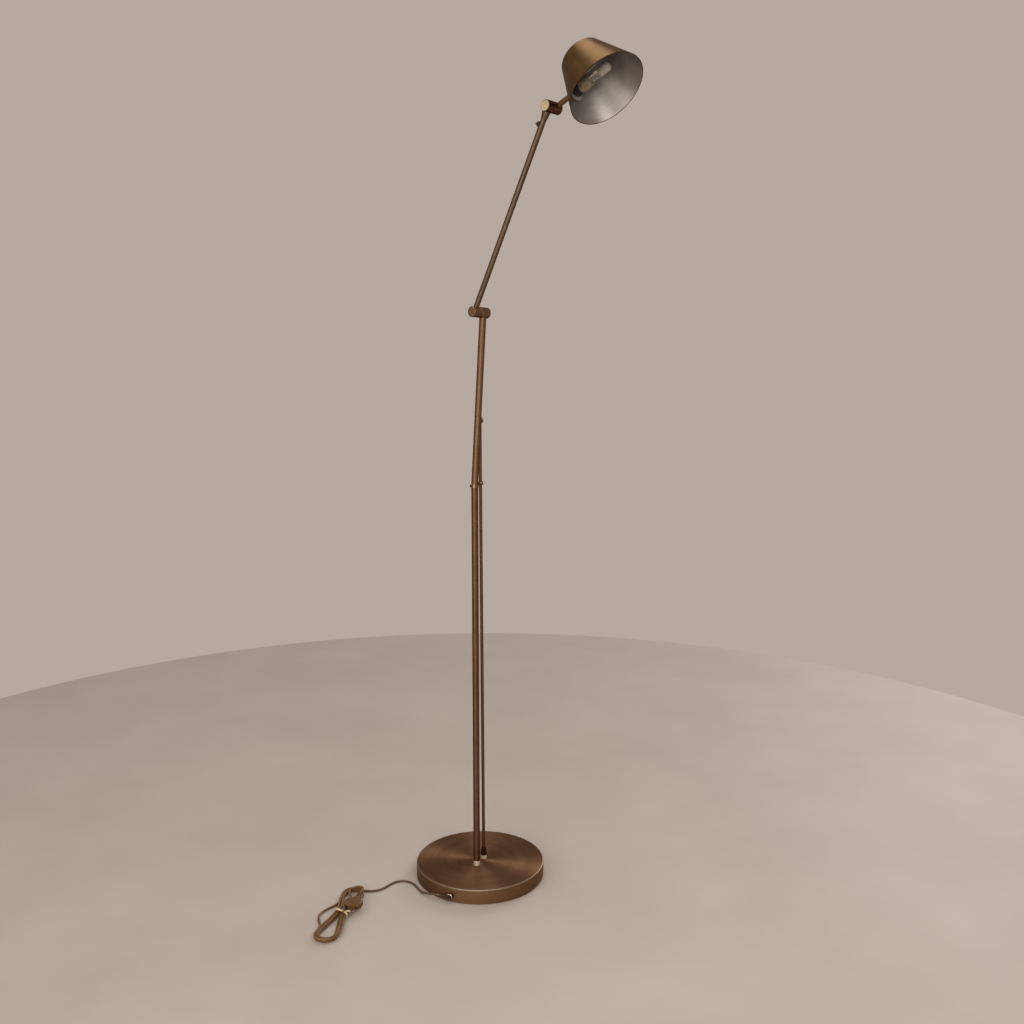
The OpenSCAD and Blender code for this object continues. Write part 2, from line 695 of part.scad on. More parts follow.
// A tube of n sides round a line of points, with a ring at each point.
function unit(v) = v / norm(v);
function heading(p, i) = unit(unit(p[min(i + 1, len(p) - 1)] - p[max(i, 0)] + 1e-9 * [1, 1, 0])
    + unit(p[min(i, len(p) - 1)] - p[max(i - 1, 0)] + 1e-9 * [1, 1, 0]));
function tangent(p, i) = i == 0 ? unit(p[1] - p[0]) : i == len(p) - 1 ? unit(p[i] - p[i - 1]) : heading(p, i);
function ring_points(p, i, r, n) = let (t = tangent(p, i), s = unit(cross(t, [0, 0, 1])), u = cross(s, t))
    [for (k = [0:n - 1]) p[i] + r * cos(360 * k / n + 30) * s + r * sin(360 * k / n + 30) * u];
module tube(p, d, n) {
    m = len(p);
    verts = [for (i = [0:m - 1]) each ring_points(p, i, d / 2, n)];
    sides = [for (i = [0:m - 2], k = [0:n - 1], h = [0, 1]) let (a = i * n + k, b = i * n + (k + 1) % n)
        h == 0 ? [a, b, b + n] : [a, b + n, a + n]];
    z = (m - 1) * n;
    caps = [for (k = [1:n - 2], h = [0, 1]) h == 0 ? [0, k + 1, k] : [z, z + k, z + k + 1]];
    polyhedron(points = verts, faces = concat(sides, caps));
}

// The hank: turns drawn in at the waist, wound inwards in the lower layer and outwards again in the upper one.
function step_in(u) = u < turn_back ? u : 2 * turn_back - u;
function ease(t) = let (c = min(1, max(0, t))) c * c * (3 - 2 * c);
function bump(x, w) = exp(-(x * x) / (w * w));
function run_y(x, n) = let (f = hank_fold - layer_z * n, w = hank_waist - waist_step * n)
    w + (f - w) * (0.5 - 0.5 * cos(180 * x / hank_run));
function stray(u, x) = u < 1 && x > stray_from && x < stray_to ?
    stray_out * pow(sin(180 * (x - stray_from) / (stray_to - stray_from)), 2) : 0;
function cross_y(u, x, y) = u > hank_end - 1 / 6 ? y + (end_y - y) * ease((-20 - x) / (hank_run - 20)) : y;
function flat_point(u) = let (p = u - floor(u), n = step_in(u), f = hank_fold - layer_z * n)
    p < 1 / 6 ? [-hank_run - f * cos(540 * p), -f * sin(540 * p)]
    : p < 1 / 3 ? let (x = hank_run * (12 * p - 3)) [x, -run_y(x, n) - stray(u, x)]
    : p < 2 / 3 ? [hank_run + f * sin(540 * p - 180), -f * cos(540 * p - 180)]
    : p < 5 / 6 ? let (x = hank_run * (9 - 12 * p)) [x, cross_y(u, x, run_y(x, n))]
    : [-hank_run - f * sin(540 * p - 450), f * cos(540 * p - 450)];
function height(u, x) = floor_z + waist_lift * bump(x, 24) + layer_z * ease((u - turn_back) / 0.2 + 0.5)
    + (u > hank_end - 1 / 6 ? layer_z * ease((-1 - x) / 22) : 0);
function turn_point(u) = let (q = flat_point(u)) [q.x, q.y, height(u, q.x)];
function stops(a, b, n) = [for (i = [0:round(n) - 1]) a + (b - a) * i / n];
last_turn = turn_point(hank_end - 1e-6);
function end_point(a) = [-hank_run - end_fold * sin(a), last_turn.y + end_fold - end_fold * cos(a),
    last_turn.z + (plug_z - last_turn.z) * ease(a / 180)];
hank_points = concat(
    [[-hank_run - hank_fold, bend_lead, floor_z]],
    [for (u = concat(stops(0, 1 / 6, rings / 6), stops(1 / 6, 1 / 3, rings / 2),
        stops(1 / 3, hank_end - 1 / 6, rings * (hank_end - 1 / 2)),
        stops(hank_end - 1 / 6, hank_end - 1 / 12, rings / 12),
        stops(hank_end - 1 / 12, hank_end, rings / 4))) turn_point(u)],
    [for (a = [0:22.5:180]) end_point(a)],
    [[plug_x, end_point(180).y, plug_z]]);
plug_y = end_point(180).y;

// least gap between stretches of the tube that are not neighbours, on points four to a ring
function fine(p) = [for (i = [0:len(p) - 2], k = [0:3]) p[i] + (p[i + 1] - p[i]) * k / 4];
function least_gap(p, d, away) = let (n = len(p) - 1)
    min([for (i = [0:n - away], j = [i + away:n]) norm(p[i] - p[j])]) - d;

module cord_free() {
    start = hank_frame_point([-hank_run - hank_fold, bend_lead, floor_z]);
    color("#7d5a34") tube(concat([boot_tip], cord_route, [cord_join, start]), cord_d, 8);
}
function hank_frame_point(q) = [hank_at.x + q.x * cos(hank_turn) - q.y * sin(hank_turn),
    hank_at.y + q.x * sin(hank_turn) + q.y * cos(hank_turn), q.z];
cord_join = hank_frame_point([-hank_run - hank_fold, bend_lead + cord_d, floor_z]);

module cord_hank() {
    echo(hank_least_gap = least_gap(fine(hank_points), cord_d, 12));
    color("#7d5a34") hank_frame() tube(hank_points, cord_d, 6);
}

module hank_tie() {
    low = -hank_waist - cord_d / 2 + waist_step * 0.25 - 0.4;
    high = hank_waist + cord_d / 2 + waist_step * 0.25 + 0.4;
    tall = floor_z + waist_lift + layer_z + cord_d / 2 + 0.4;
    wall = 0.7;
    color("#e2cfae") hank_frame() rotate([90, 0, 90]) translate([0, 0, -3.5]) linear_extrude(7) difference() {
        translate([low - wall, 0.1]) square([high - low + 2 * wall, tall + wall - 0.1]);
        translate([low, 0.1 + wall]) square([high - low, tall - 0.1 - wall]);
    }
}

module plug_frame() { hank_frame() translate([plug_x, plug_y, plug_z]) children(); }

module plug_body() {
    tail = 20;
    body = 34.5;
    half_w = 17;
    half_t = 6.7;
    face_w = 12.8;
    color("#5d3d22") plug_frame() {
        rotate([0, 90, 0]) cylinder(d1 = cord_d + 1.2, d2 = 9, h = tail + 1);
        translate([tail, 0, -half_t]) linear_extrude(2 * half_t) polygon([
            [0, -5], [8, -12], [20, -half_w], [28, -half_w], [body, -face_w],
            [body, face_w], [28, half_w], [20, half_w], [8, 12], [0, 5]]);
    }
}

module plug_pins() {
    pin_from = 54.5;
    color("#c9c6bd") plug_frame() for (side = [-1, 1])
        translate([pin_from + 0.02, side * 9.3, 0]) rotate([0, 90, 0]) {
            cylinder(d = 4, h = 17.5);
            translate([0, 0, 17.5 - eps]) cylinder(d1 = 4, d2 = 2.4, h = 1.5);
        }
}

base_cover();
base_weight();
base_pad();
mast_nipple();
mast_nut();
mast_spacer();
foot_collar();
lower_mast();
side_rod();
rod_nut();
rod_sleeve();
rod_finial();
coupling_bracket();
bracket_screw();
coupling_spigot();
upper_mast();
knee_lower();
knee_upper();
knee_nipple();
knee_nuts();
knee_washer();
knee_cap_far();
knee_cap_near();
upper_arm();
arm_neck();
switch_boss();
switch_lever();
switch_body();
elbow_lower();
elbow_upper();
elbow_nipple();
elbow_nuts();
elbow_washer();
elbow_cap_near();
elbow_cap_far();
shade_stem();
stem_collar();
shade();
shade_washer();
holder_base();
holder_ceramic();
bulb_base();
bulb_capsule();
bulb_pins();
cable_base();
cable_lower_mast();
cable_upper_mast();
cable_arm();
cable_head();
cord_gland();
cord_free();
cord_hank();
hank_tie();
plug_body();
plug_pins();
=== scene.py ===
"""Bridge floor lamp: the look of every piece, in the part's own frame (metres, +Z up, +X the arm's reach).

Pieces that are turned on a lathe are surfaces of revolution, cords are tubes carried along their route,
and the moulded plug is a row of rounded sections. Each function says its formula in words.
"""
import bmesh
import bpy
import numpy as np
from mathutils import Matrix


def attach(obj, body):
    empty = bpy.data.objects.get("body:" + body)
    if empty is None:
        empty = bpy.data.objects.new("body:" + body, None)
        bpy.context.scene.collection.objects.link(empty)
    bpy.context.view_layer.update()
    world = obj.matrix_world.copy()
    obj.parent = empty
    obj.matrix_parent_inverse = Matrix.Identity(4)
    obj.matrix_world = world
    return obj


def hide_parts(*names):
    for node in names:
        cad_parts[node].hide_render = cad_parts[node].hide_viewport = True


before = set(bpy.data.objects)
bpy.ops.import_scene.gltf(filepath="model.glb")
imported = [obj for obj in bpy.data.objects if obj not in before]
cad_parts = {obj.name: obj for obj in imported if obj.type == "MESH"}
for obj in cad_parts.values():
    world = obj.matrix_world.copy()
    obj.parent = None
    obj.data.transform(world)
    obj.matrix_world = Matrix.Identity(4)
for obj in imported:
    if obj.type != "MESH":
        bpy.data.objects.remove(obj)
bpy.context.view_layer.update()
MM = 0.001

# ---------------------------------------------------------------- camera
CAMERA_AT = (1.4730, -1.4348, 1.0632)
CAMERA_RIGHT = (0.71934, 0.69466, 0.0)
CAMERA_UP = (-0.11300, 0.11701, 0.98668)
CAMERA_BACK = (0.68541, -0.70976, 0.16266)
SENSOR_WIDTH = 36
FOCAL_PIXELS, PHOTO_PIXELS = 1110, 1024


def add_camera():
    """The photograph's camera: columns of the matrix are right, up and back, and the place is the eye."""
    data = bpy.data.cameras.new("camera")
    data.sensor_width = SENSOR_WIDTH
    data.lens = SENSOR_WIDTH * FOCAL_PIXELS / PHOTO_PIXELS
    cam = bpy.data.objects.new("camera", data)
    rows = [list(r) for r in zip(CAMERA_RIGHT, CAMERA_UP, CAMERA_BACK, CAMERA_AT)]
    cam.matrix_world = Matrix(rows + [[0, 0, 0, 1]])
    bpy.context.scene.collection.objects.link(cam)
    bpy.context.scene.camera = cam


add_camera()


# ---------------------------------------------------------------- places
def turn_x(deg):
    """Turn about X."""
    a = np.radians(deg)
    return np.array([[1, 0, 0], [0, np.cos(a), -np.sin(a)], [0, np.sin(a), np.cos(a)]])


def turn_y(deg):
    """Turn about Y."""
    a = np.radians(deg)
    return np.array([[np.cos(a), 0, np.sin(a)], [0, 1, 0], [-np.sin(a), 0, np.cos(a)]])


def turn_z(deg):
    """Turn about Z."""
    a = np.radians(deg)
    return np.array([[np.cos(a), -np.sin(a), 0], [np.sin(a), np.cos(a), 0], [0, 0, 1]])


class Place:
    """A frame in the part: a turn and an origin in millimetres, as the part's source has them."""

    def __init__(self, turn, origin):
        self.turn = np.asarray(turn, float)
        self.origin = np.asarray(origin, float)

    def shift(self, *v):
        """The same turn at an origin moved by v along this frame's own axes."""
        return Place(self.turn, self.origin + self.turn @ np.array(v, float))

    def rotate(self, turn):
        """The same origin with a further turn in this frame's own axes."""
        return Place(self.turn @ turn, self.origin)

    def world(self, points):
        """Points of this frame, in metres of the part's frame."""
        return (np.asarray(points, float) @ self.turn.T + self.origin) * MM


# Frames of the part's own source: each joint's place, and the turns of what it carries.
FLOOR = Place(np.eye(3), (0, 0, 0))
UPPER = Place(turn_x(-3.9) @ turn_y(0.4), (11.3, -20.4, 779.5))
KNEE = UPPER.shift(0, -9.3, 313.5)
ARM = KNEE.shift(0, -12.4, 0).rotate(turn_y(24.5))
ELBOW = ARM.shift(0, 8.05, 372).rotate(turn_y(-24.5))
STEM = ELBOW.shift(0, 8.05, 0).rotate(turn_y(65.1))
CROWN_R, MOUTH_R, SHADE_H = 37.2, 68.0, 83.1
HALF_ANGLE = np.degrees(np.arctan((MOUTH_R - CROWN_R) / SHADE_H))
SHADE = STEM.shift(-45.328, 0, 78.281).rotate(turn_y(90 - HALF_ANGLE))
HANK = Place(turn_z(-57), (-66, -294, 0))
ALONG_Y = turn_x(-90)


# ---------------------------------------------------------------- surfaces
CURVE_STEPS = 5
CLOSING_RUN = 0.001


def add_piece(name, verts, quads, uvs, body, nodes, materials, tris=None, picks=None):
    """A mesh from whole arrays: corners, four-sided faces with their map coordinates, and three-sided faces,
    which lie at the map's origin."""
    mesh = bpy.data.meshes.new(name)
    tris = np.zeros((0, 3), int) if tris is None else tris
    faces = quads.tolist() + tris.tolist()
    mesh.from_pydata(np.asarray(verts).tolist(), [], faces)
    flat = np.concatenate([uvs.reshape(-1, 2), np.zeros((3 * len(tris), 2))])
    layer = mesh.uv_layers.new(name="UVMap")
    layer.data.foreach_set("uv", flat.astype(np.float32).ravel())
    for m in materials:
        mesh.materials.append(m)
    if picks is not None:
        mesh.polygons.foreach_set("material_index", np.asarray(picks, np.int32))
    mesh.polygons.foreach_set("use_smooth", np.ones(len(faces), bool))
    mesh.validate()
    mesh.update()
    obj = bpy.data.objects.new(name, mesh)
    bpy.context.scene.collection.objects.link(obj)
    if body:
        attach(obj, body)
    if nodes:
        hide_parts(*nodes)
    return obj


def grid_faces(rows, cols, wrap_rows):
    """Faces of a grid whose columns close round: corner i, j to i, j + 1 to i + 1, j + 1 to i + 1, j."""
    i, j = np.meshgrid(np.arange(rows if wrap_rows else rows - 1), np.arange(cols), indexing="ij")
    i, j = i.ravel(), j.ravel()
    up, on = (i + 1) % rows, (j + 1) % cols
    return np.stack([i * cols + j, i * cols + on, up * cols + on, up * cols + j], 1), i, j


def grid_map(u0, u1, v0, v1):
    """Map coordinates of grid faces, corner by corner as grid_faces lists them."""
    corners = ((u0, v0), (u1, v0), (u1, v1), (u0, v1))
    return np.stack([np.stack(c, 1) for c in corners], 1)


def run_length(line):
    """The distance along a line at each of its points."""
    return np.concatenate([[0], np.cumsum(np.linalg.norm(np.diff(line, axis=0), axis=1))])


def rounded(corners, paint=None):
    """A polyline with each corner (x, y, r) eased by a curve that leaves r before it and meets r after it.
    paint gives, for a corner's number, the finish of its curve and the finish of the wall after it."""
    pts = np.array([c[:2] for c in corners], float)
    out, finishes, finish = [], [], 0
    for k, (x, y, r) in enumerate(corners):
        b = np.array([x, y])
        curve, finish = (paint or {}).get(k, (finish, finish))
        if r <= 0 or k in (0, len(corners) - 1):
            out.append(b[None])
            finishes.append(finish)
            continue
        finishes += [curve] * CURVE_STEPS + [finish]
        before, after = pts[k - 1] - b, pts[k + 1] - b
        la, lc = np.linalg.norm(before), np.linalg.norm(after)
        cut = min(r, 0.49 * la, 0.49 * lc)
        p, q = b + before / la * cut, b + after / lc * cut
        s = np.linspace(0, 1, CURVE_STEPS + 1)[:, None]
        out.append((1 - s) ** 2 * p + 2 * s * (1 - s) * b + s ** 2 * q)
    return np.concatenate(out), np.array(finishes)


def turned(name, place, corners, body, nodes, materials, sides=64, closed=False, paint=None):
    """A surface of revolution: the profile (radius, height) goes round the frame's Z axis.
    At height h and angle a the point is (r cos a, r sin a, h). Map: turns round, metres along the profile."""
    line, finish = rounded(corners, paint)
    keep = np.concatenate([[True], np.linalg.norm(np.diff(line, axis=0), axis=1) > 1e-6])
    line, finish = line[keep], finish[keep]
    run = run_length(line) * MM
    far = np.append(run[1:], run[-1] + CLOSING_RUN)
    ang = np.arange(sides) * 2 * np.pi / sides
    r, h = line[:, :1], line[:, 1:]
    pts = np.stack([r * np.cos(ang), r * np.sin(ang), np.repeat(h, sides, 1)], -1)
    quads, i, j = grid_faces(len(line), sides, closed)
    uvs = grid_map(j / sides, (j + 1) / sides, run[i], far[i])
    verts = place.world(pts.reshape(-1, 3))
    obj = add_piece(name, verts, quads, uvs, body, nodes, materials, picks=finish[i])
    if not closed:
        weld(obj)
    return obj


def weld(obj):
    """Closes poles and seams: corners nearer than a thousandth of a millimetre become one."""
    bm = bmesh.new()
    bm.from_mesh(obj.data)
    bmesh.ops.remove_doubles(bm, verts=bm.verts, dist=1e-6)
    bmesh.ops.recalc_face_normals(bm, faces=bm.faces)
    bm.to_mesh(obj.data)
    bm.free()


def ring(radius, sides):
    """Corners of a circle, counted round from its first axis."""
    a = np.arange(sides) * 2 * np.pi / sides
    return np.stack([radius * np.cos(a), radius * np.sin(a)], 1)


def carried(path, section, side, up):
    """Rings of a section along a path: ring i is path[i] plus the section's two coordinates along side[i]
    and up[i]."""
    return path[:, None] + section[:, :1] * side[:, None] + section[:, 1:] * up[:, None]


def ringed(name, pts, ends, run, body, nodes, materials):
    """Rings of corners, in metres, joined into a tube whose two ends are fans to their middle points.
    Map: turns round, metres along."""
    rows, n = pts.shape[:2]
    quads, i, j = grid_faces(rows, n, False)
    uvs = grid_map(j / n, (j + 1) / n, run[i], run[i + 1])
    k = np.arange(n)
    middle, last = rows * n, (rows - 1) * n
    tris = np.concatenate([np.stack([np.full(n, middle), (k + 1) % n, k], 1),
                           np.stack([np.full(n, middle + 1), last + k, last + (k + 1) % n], 1)])
    verts = np.concatenate([pts.reshape(-1, 3), ends])
    obj = add_piece(name, verts, quads, uvs, body, nodes, materials, tris)
    weld(obj)
    return obj


def swept(name, path, section, body, nodes, materials):
    """A section (corners, 2) carried along a path in metres, level across it: its first coordinate lies along
    the horizontal side of the path, its second along the upward direction there."""
    t = np.gradient(path, axis=0)
    t /= np.linalg.norm(t, axis=1)[:, None]
    side = np.cross(t, [0, 0, 1.0])
    side /= np.linalg.norm(side, axis=1)[:, None]
    pts = carried(path, section, side, np.cross(side, t))
    return ringed(name, pts, path[[0, -1]], run_length(path), body, nodes, materials)


def loft(name, place, xs, halves_y, halves_z, power, body, nodes, materials, sides=40):
    """Rounded sections along the frame's X axis: at x the section is a superellipse of half widths y and z,
    |y/a|^k + |z/b|^k = 1, taken at equal angles."""
    a = np.arange(sides) * 2 * np.pi / sides
    c, s = np.cos(a), np.sin(a)
    e = 2.0 / power[:, None]
    y = halves_y[:, None] * np.sign(c) * np.abs(c) ** e
    z = halves_z[:, None] * np.sign(s) * np.abs(s) ** e
    pts = np.stack([np.repeat(xs[:, None], sides, 1), y, z], -1)
    ends = np.array([[xs[0], 0, 0], [xs[-1], 0, 0]])
    return ringed(name, place.world(pts), place.world(ends), xs * MM, body, nodes, materials)


# ---------------------------------------------------------------- shader groups
def new_group(name, inputs, outputs):
    """A shader node group with named inputs (name, kind, value) and outputs (name, kind)."""
    group = bpy.data.node_groups.new(name, "ShaderNodeTree")
    for label, kind, value in inputs:
        socket = group.interface.new_socket(label, in_out="INPUT", socket_type=kind)
        if value is not None:
            socket.default_value = value
    for label, kind in outputs:
        group.interface.new_socket(label, in_out="OUTPUT", socket_type=kind)
    return group, group.nodes.new("NodeGroupInput"), group.nodes.new("NodeGroupOutput")


def feed(tree, node, values):
    """Numbers and sockets into a node's inputs in turn, None for an input left alone. Gives its output."""
    for socket, v in zip(node.inputs, values):
        if v is None:
            continue
        if isinstance(v, (int, float)):
            socket.default_value = v
        else:
            tree.links.new(v, socket)
    return node.outputs[0]


def math(tree, op, a, b=None):
    """One Math node on sockets or numbers."""
    node = tree.nodes.new("ShaderNodeMath")
    node.operation = op
    return feed(tree, node, (a, b))


def combine(tree, x, y, z):
    """Three sockets or numbers as a vector."""
    return feed(tree, tree.nodes.new("ShaderNodeCombineXYZ"), (x, y, z))


def noise(tree, vector, scale, detail=2.0, rough=0.5):
    """A Noise Texture read at a vector."""
    node = tree.nodes.new("ShaderNodeTexNoise")
    node.inputs["Scale"].default_value = scale
    node.inputs["Detail"].default_value = detail
    node.inputs["Roughness"].default_value = rough
    tree.links.new(vector, node.inputs["Vector"])
    return node.outputs["Fac"]


def turned_brushing_group():
    """Fine lines that run round a turned piece. Map U is the turn and V the metres along the profile, so the
    lines are noise at (V x fineness, cos and sin of the turn x breaks): long round the piece, fine along
    it."""
    g, gi, go = new_group("turned brushing",
                          [("Map", "NodeSocketVector", None), ("Fineness", "NodeSocketFloat", 2200.0),
                           ("Breaks", "NodeSocketFloat", 2.0)],
                          [("Lines", "NodeSocketFloat"), ("Patches", "NodeSocketFloat")])
    sep = g.nodes.new("ShaderNodeSeparateXYZ")
    g.links.new(gi.outputs["Map"], sep.inputs[0])
    ang = math(g, "MULTIPLY", sep.outputs[0], 2 * np.pi)
    c = math(g, "MULTIPLY", math(g, "COSINE", ang), gi.outputs["Breaks"])
    s = math(g, "MULTIPLY", math(g, "SINE", ang), gi.outputs["Breaks"])
    v = math(g, "MULTIPLY", sep.outputs[1], gi.outputs["Fineness"])
    fine = noise(g, combine(g, v, c, s), 1.0, 3.0, 0.65)
    v2 = math(g, "MULTIPLY", sep.outputs[1], 60.0)
    wide = noise(g, combine(g, v2, c, s), 0.7, 3.0, 0.6)
    g.links.new(fine, go.inputs["Lines"])
    g.links.new(wide, go.inputs["Patches"])
    return g


def drawn_brushing_group():
    """Fine lines round a drawn tube: noise at the tube's own coordinates, squeezed along the tube and long
    round it, with wider tarnish patches."""
    g, gi, go = new_group("tube brushing",
                          [("Vector", "NodeSocketVector", None), ("Fineness", "NodeSocketFloat", 1500.0)],
                          [("Lines", "NodeSocketFloat"), ("Patches", "NodeSocketFloat")])
    sep = g.nodes.new("ShaderNodeSeparateXYZ")
    g.links.new(gi.outputs["Vector"], sep.inputs[0])
    x = math(g, "MULTIPLY", sep.outputs[0], 90.0)
    y = math(g, "MULTIPLY", sep.outputs[1], 90.0)
    z = math(g, "MULTIPLY", sep.outputs[2], gi.outputs["Fineness"])
    fine = noise(g, combine(g, x, y, z), 1.0, 3.0, 0.65)
    wide = noise(g, gi.outputs["Vector"], 26.0, 4.0, 0.6)
    g.links.new(fine, go.inputs["Lines"])
    g.links.new(wide, go.inputs["Patches"])
    return g


TURNED = turned_brushing_group()
DRAWN = drawn_brushing_group()


# ---------------------------------------------------------------- materials
def ramp(tree, value, stops):
    """A Color Ramp with (place, colour) stops."""
    node = tree.nodes.new("ShaderNodeValToRGB")
    while len(node.color_ramp.elements) < len(stops):
        node.color_ramp.elements.new(0.5)
    for e, (at, colour) in zip(node.color_ramp.elements, stops):
        e.position = at
        e.color = (*colour, 1)
    tree.links.new(value, node.inputs[0])
    return node.outputs[0]


def grey(v):
    """One value as a colour."""
    return (v, v, v)


def new_material(name):
    """An empty material, its node tree and its shader."""
    mat = bpy.data.materials.new(name)
    mat.use_nodes = True
    tree = mat.node_tree
    return mat, tree, tree.nodes["Principled BSDF"]


def bump(tree, shader, height, strength, distance=0.0002):
    """A Bump node that tilts the shader's normal by a height."""
    node = tree.nodes.new("ShaderNodeBump")
    node.inputs["Strength"].default_value = strength
    node.inputs["Distance"].default_value = distance
    tree.links.new(height, node.inputs["Height"])
    tree.links.new(node.outputs[0], shader.inputs["Normal"])


def group_node(tree, group, **values):
    """A node group set to work in a tree, with values for its inputs."""
    node = tree.nodes.new("ShaderNodeGroup")
    node.node_tree = group
    for k, v in values.items():
        node.inputs[k].default_value = v
    return node


def map_vector(tree):
    """The piece's own map coordinates."""
    uv = tree.nodes.new("ShaderNodeUVMap")
    uv.uv_map = "UVMap"
    return uv.outputs[0]


def place_vector(tree, place=None):
    """Object coordinates, turned into a leaning piece's own frame where one is given."""
    coord = tree.nodes.new("ShaderNodeTexCoord").outputs["Object"]
    if place is None:
        return coord
    node = tree.nodes.new("ShaderNodeMapping")
    inverse = Matrix([list(r) for r in place.turn.T])
    node.inputs["Rotation"].default_value = inverse.to_euler("XYZ")
    node.inputs["Location"].default_value = tuple(-place.turn.T @ place.origin * MM)
    tree.links.new(coord, node.inputs["Vector"])
    return node.outputs[0]


def metal(name, dark, light, rough, fine, source, place=None, aniso=0.0, turn=0.0, edge=0.3, lines=0.06,
          fineness=1500.0, breaks=2.0, metallic=1.0):
    """A brushed or turned metal. Colour goes between dark and light with patches and fine lines, the lines
    also move the roughness and a very small bump. edge tints what it reflects at a grazing angle: the lower,
    the darker it is there. source is "map" for a turned piece and "place" for a drawn tube."""
    mat, tree, shader = new_material(name)
    shader.inputs["Metallic"].default_value = metallic
    shader.inputs["Anisotropic"].default_value = aniso
    shader.inputs["Anisotropic Rotation"].default_value = turn
    shader.inputs["Specular Tint"].default_value = (edge, edge, edge, 1)
    if source == "map":
        node = group_node(tree, TURNED, Fineness=fineness, Breaks=breaks)
        tree.links.new(map_vector(tree), node.inputs["Map"])
        tangent = tree.nodes.new("ShaderNodeTangent")
        tangent.direction_type = "UV_MAP"
        tangent.uv_map = "UVMap"
        tree.links.new(tangent.outputs[0], shader.inputs["Tangent"])
    else:
        node = group_node(tree, DRAWN, Fineness=fineness)
        tree.links.new(place_vector(tree, place), node.inputs["Vector"])
    mix = math(tree, "ADD", math(tree, "MULTIPLY", node.outputs["Lines"], 0.62),
               math(tree, "MULTIPLY", node.outputs["Patches"], 0.38))
    tree.links.new(ramp(tree, mix, [(0.34, dark), (0.66, light)]), shader.inputs["Base Color"])
    tree.links.new(ramp(tree, mix, [(0.3, grey(rough - fine)), (0.7, grey(rough + fine))]),
                   shader.inputs["Roughness"])
    bump(tree, shader, node.outputs["Lines"], lines)
    return mat


def moulded(name, dark, light, rough, scale=120.0, pores=0.12, coat=0.0, metallic=0.0, gloss=0.5):
    """A moulded or painted surface: two near colours through noise, uneven gloss, small pores."""
    mat, tree, shader = new_material(name)
    shader.inputs["Metallic"].default_value = metallic
    shader.inputs["Specular IOR Level"].default_value = gloss
    shader.inputs["Coat Weight"].default_value = coat
    shader.inputs["Coat Roughness"].default_value = 0.15
    vec = place_vector(tree)
    cloud = noise(tree, vec, scale, 4.0, 0.6)
    tree.links.new(ramp(tree, cloud, [(0.35, dark), (0.65, light)]), shader.inputs["Base Color"])
    uneven = noise(tree, vec, scale * 2.3, 3.0)
    tree.links.new(ramp(tree, uneven, [(0.3, grey(rough - 0.06)), (0.7, grey(rough + 0.06))]),
                   shader.inputs["Roughness"])
    bump(tree, shader, noise(tree, vec, scale * 14, 2.0), pores)
    return mat


def glass(name, tint, rough, frost):
    """Glass with a slight unevenness; frost is the share of light that the frosting scatters."""
    mat, tree, shader = new_material(name)
    shader.inputs["Transmission Weight"].default_value = 1.0 - frost
    shader.inputs["IOR"].default_value = 1.46
    vec = place_vector(tree)
    cloud = noise(tree, vec, 180.0, 3.0)
    lighter = tuple(min(1, c * 1.05) for c in tint)
    tree.links.new(ramp(tree, cloud, [(0.3, tint), (0.7, lighter)]), shader.inputs["Base Color"])
    tree.links.new(ramp(tree, cloud, [(0.3, grey(rough)), (0.7, grey(rough + 0.05))]),
                   shader.inputs["Roughness"])
    return mat


def cord_sheath(name, dark, light, free, shaded_free_dark, shaded_free_light):
    """Soft brown sheath: colour drifts along the cord, with faint scuffs round it. The first stretch, up to
    the value free in metres, is painted darker with colours of its own, as painted shade."""
    mat, tree, shader = new_material(name)
    shader.inputs["Specular IOR Level"].default_value = 0.3
    sep = tree.nodes.new("ShaderNodeSeparateXYZ")
    tree.links.new(map_vector(tree), sep.inputs[0])
    turn, metres = sep.outputs[0], sep.outputs[1]
    along = combine(tree, math(tree, "MULTIPLY", metres, 38.0), math(tree, "MULTIPLY", turn, 3.0), 0.0)
    drift = noise(tree, along, 1.0, 4.0, 0.6)
    mix = tree.nodes.new("ShaderNodeMix")
    mix.data_type = "RGBA"
    # The free stretch takes the darker pair of colours: painted shade on the cord.
    tree.links.new(math(tree, "GREATER_THAN", metres, free), mix.inputs["Factor"])
    tree.links.new(ramp(tree, drift, [(0.3, shaded_free_dark), (0.7, shaded_free_light)]), mix.inputs[6])
    tree.links.new(ramp(tree, drift, [(0.3, dark), (0.7, light)]), mix.inputs[7])
    tree.links.new(mix.outputs[2], shader.inputs["Base Color"])
    tree.links.new(ramp(tree, drift, [(0.3, grey(0.34)), (0.7, grey(0.48))]), shader.inputs["Roughness"])
    scuffs = combine(tree, math(tree, "MULTIPLY", metres, 900.0), 0.0, 0.0)
    bump(tree, shader, noise(tree, scuffs, 1.0, 2.0), 0.08)
    return mat


BRONZE_DARK, BRONZE_LIGHT = (0.127, 0.067, 0.0355), (0.224, 0.129, 0.074)
RED_DARK, RED_LIGHT = (0.103, 0.049, 0.028), (0.190, 0.099, 0.060)
UPPER_DARK, UPPER_LIGHT = (0.128, 0.066, 0.039), (0.206, 0.122, 0.066)
ARM_DARK, ARM_LIGHT = (0.098, 0.062, 0.042), (0.164, 0.114, 0.073)
brushed_top = metal("brushed bronze base", BRONZE_DARK, BRONZE_LIGHT, 0.46, 0.06, "map",
                    aniso=0.85, turn=0.25, edge=0.5, lines=0.12, fineness=1700.0, breaks=1.6)
# The pale edge colour is a painted highlight along the base's rounded top edge.
painted_highlight_edge = metal("painted highlight bronze edge", (0.21, 0.155, 0.110), (0.32, 0.24, 0.172), 0.36, 0.06, "map", edge=0.6)
skirt_metal = metal("satin bronze rim", (0.148, 0.080, 0.040), (0.240, 0.134, 0.069), 0.62, 0.06, "map",
                    aniso=0.3, turn=0.25, edge=0.6, fineness=1400.0)
tube_upright = metal("satin bronze upright tube", RED_DARK, RED_LIGHT, 0.50, 0.06, "place",
                     aniso=0.25, turn=0.25)
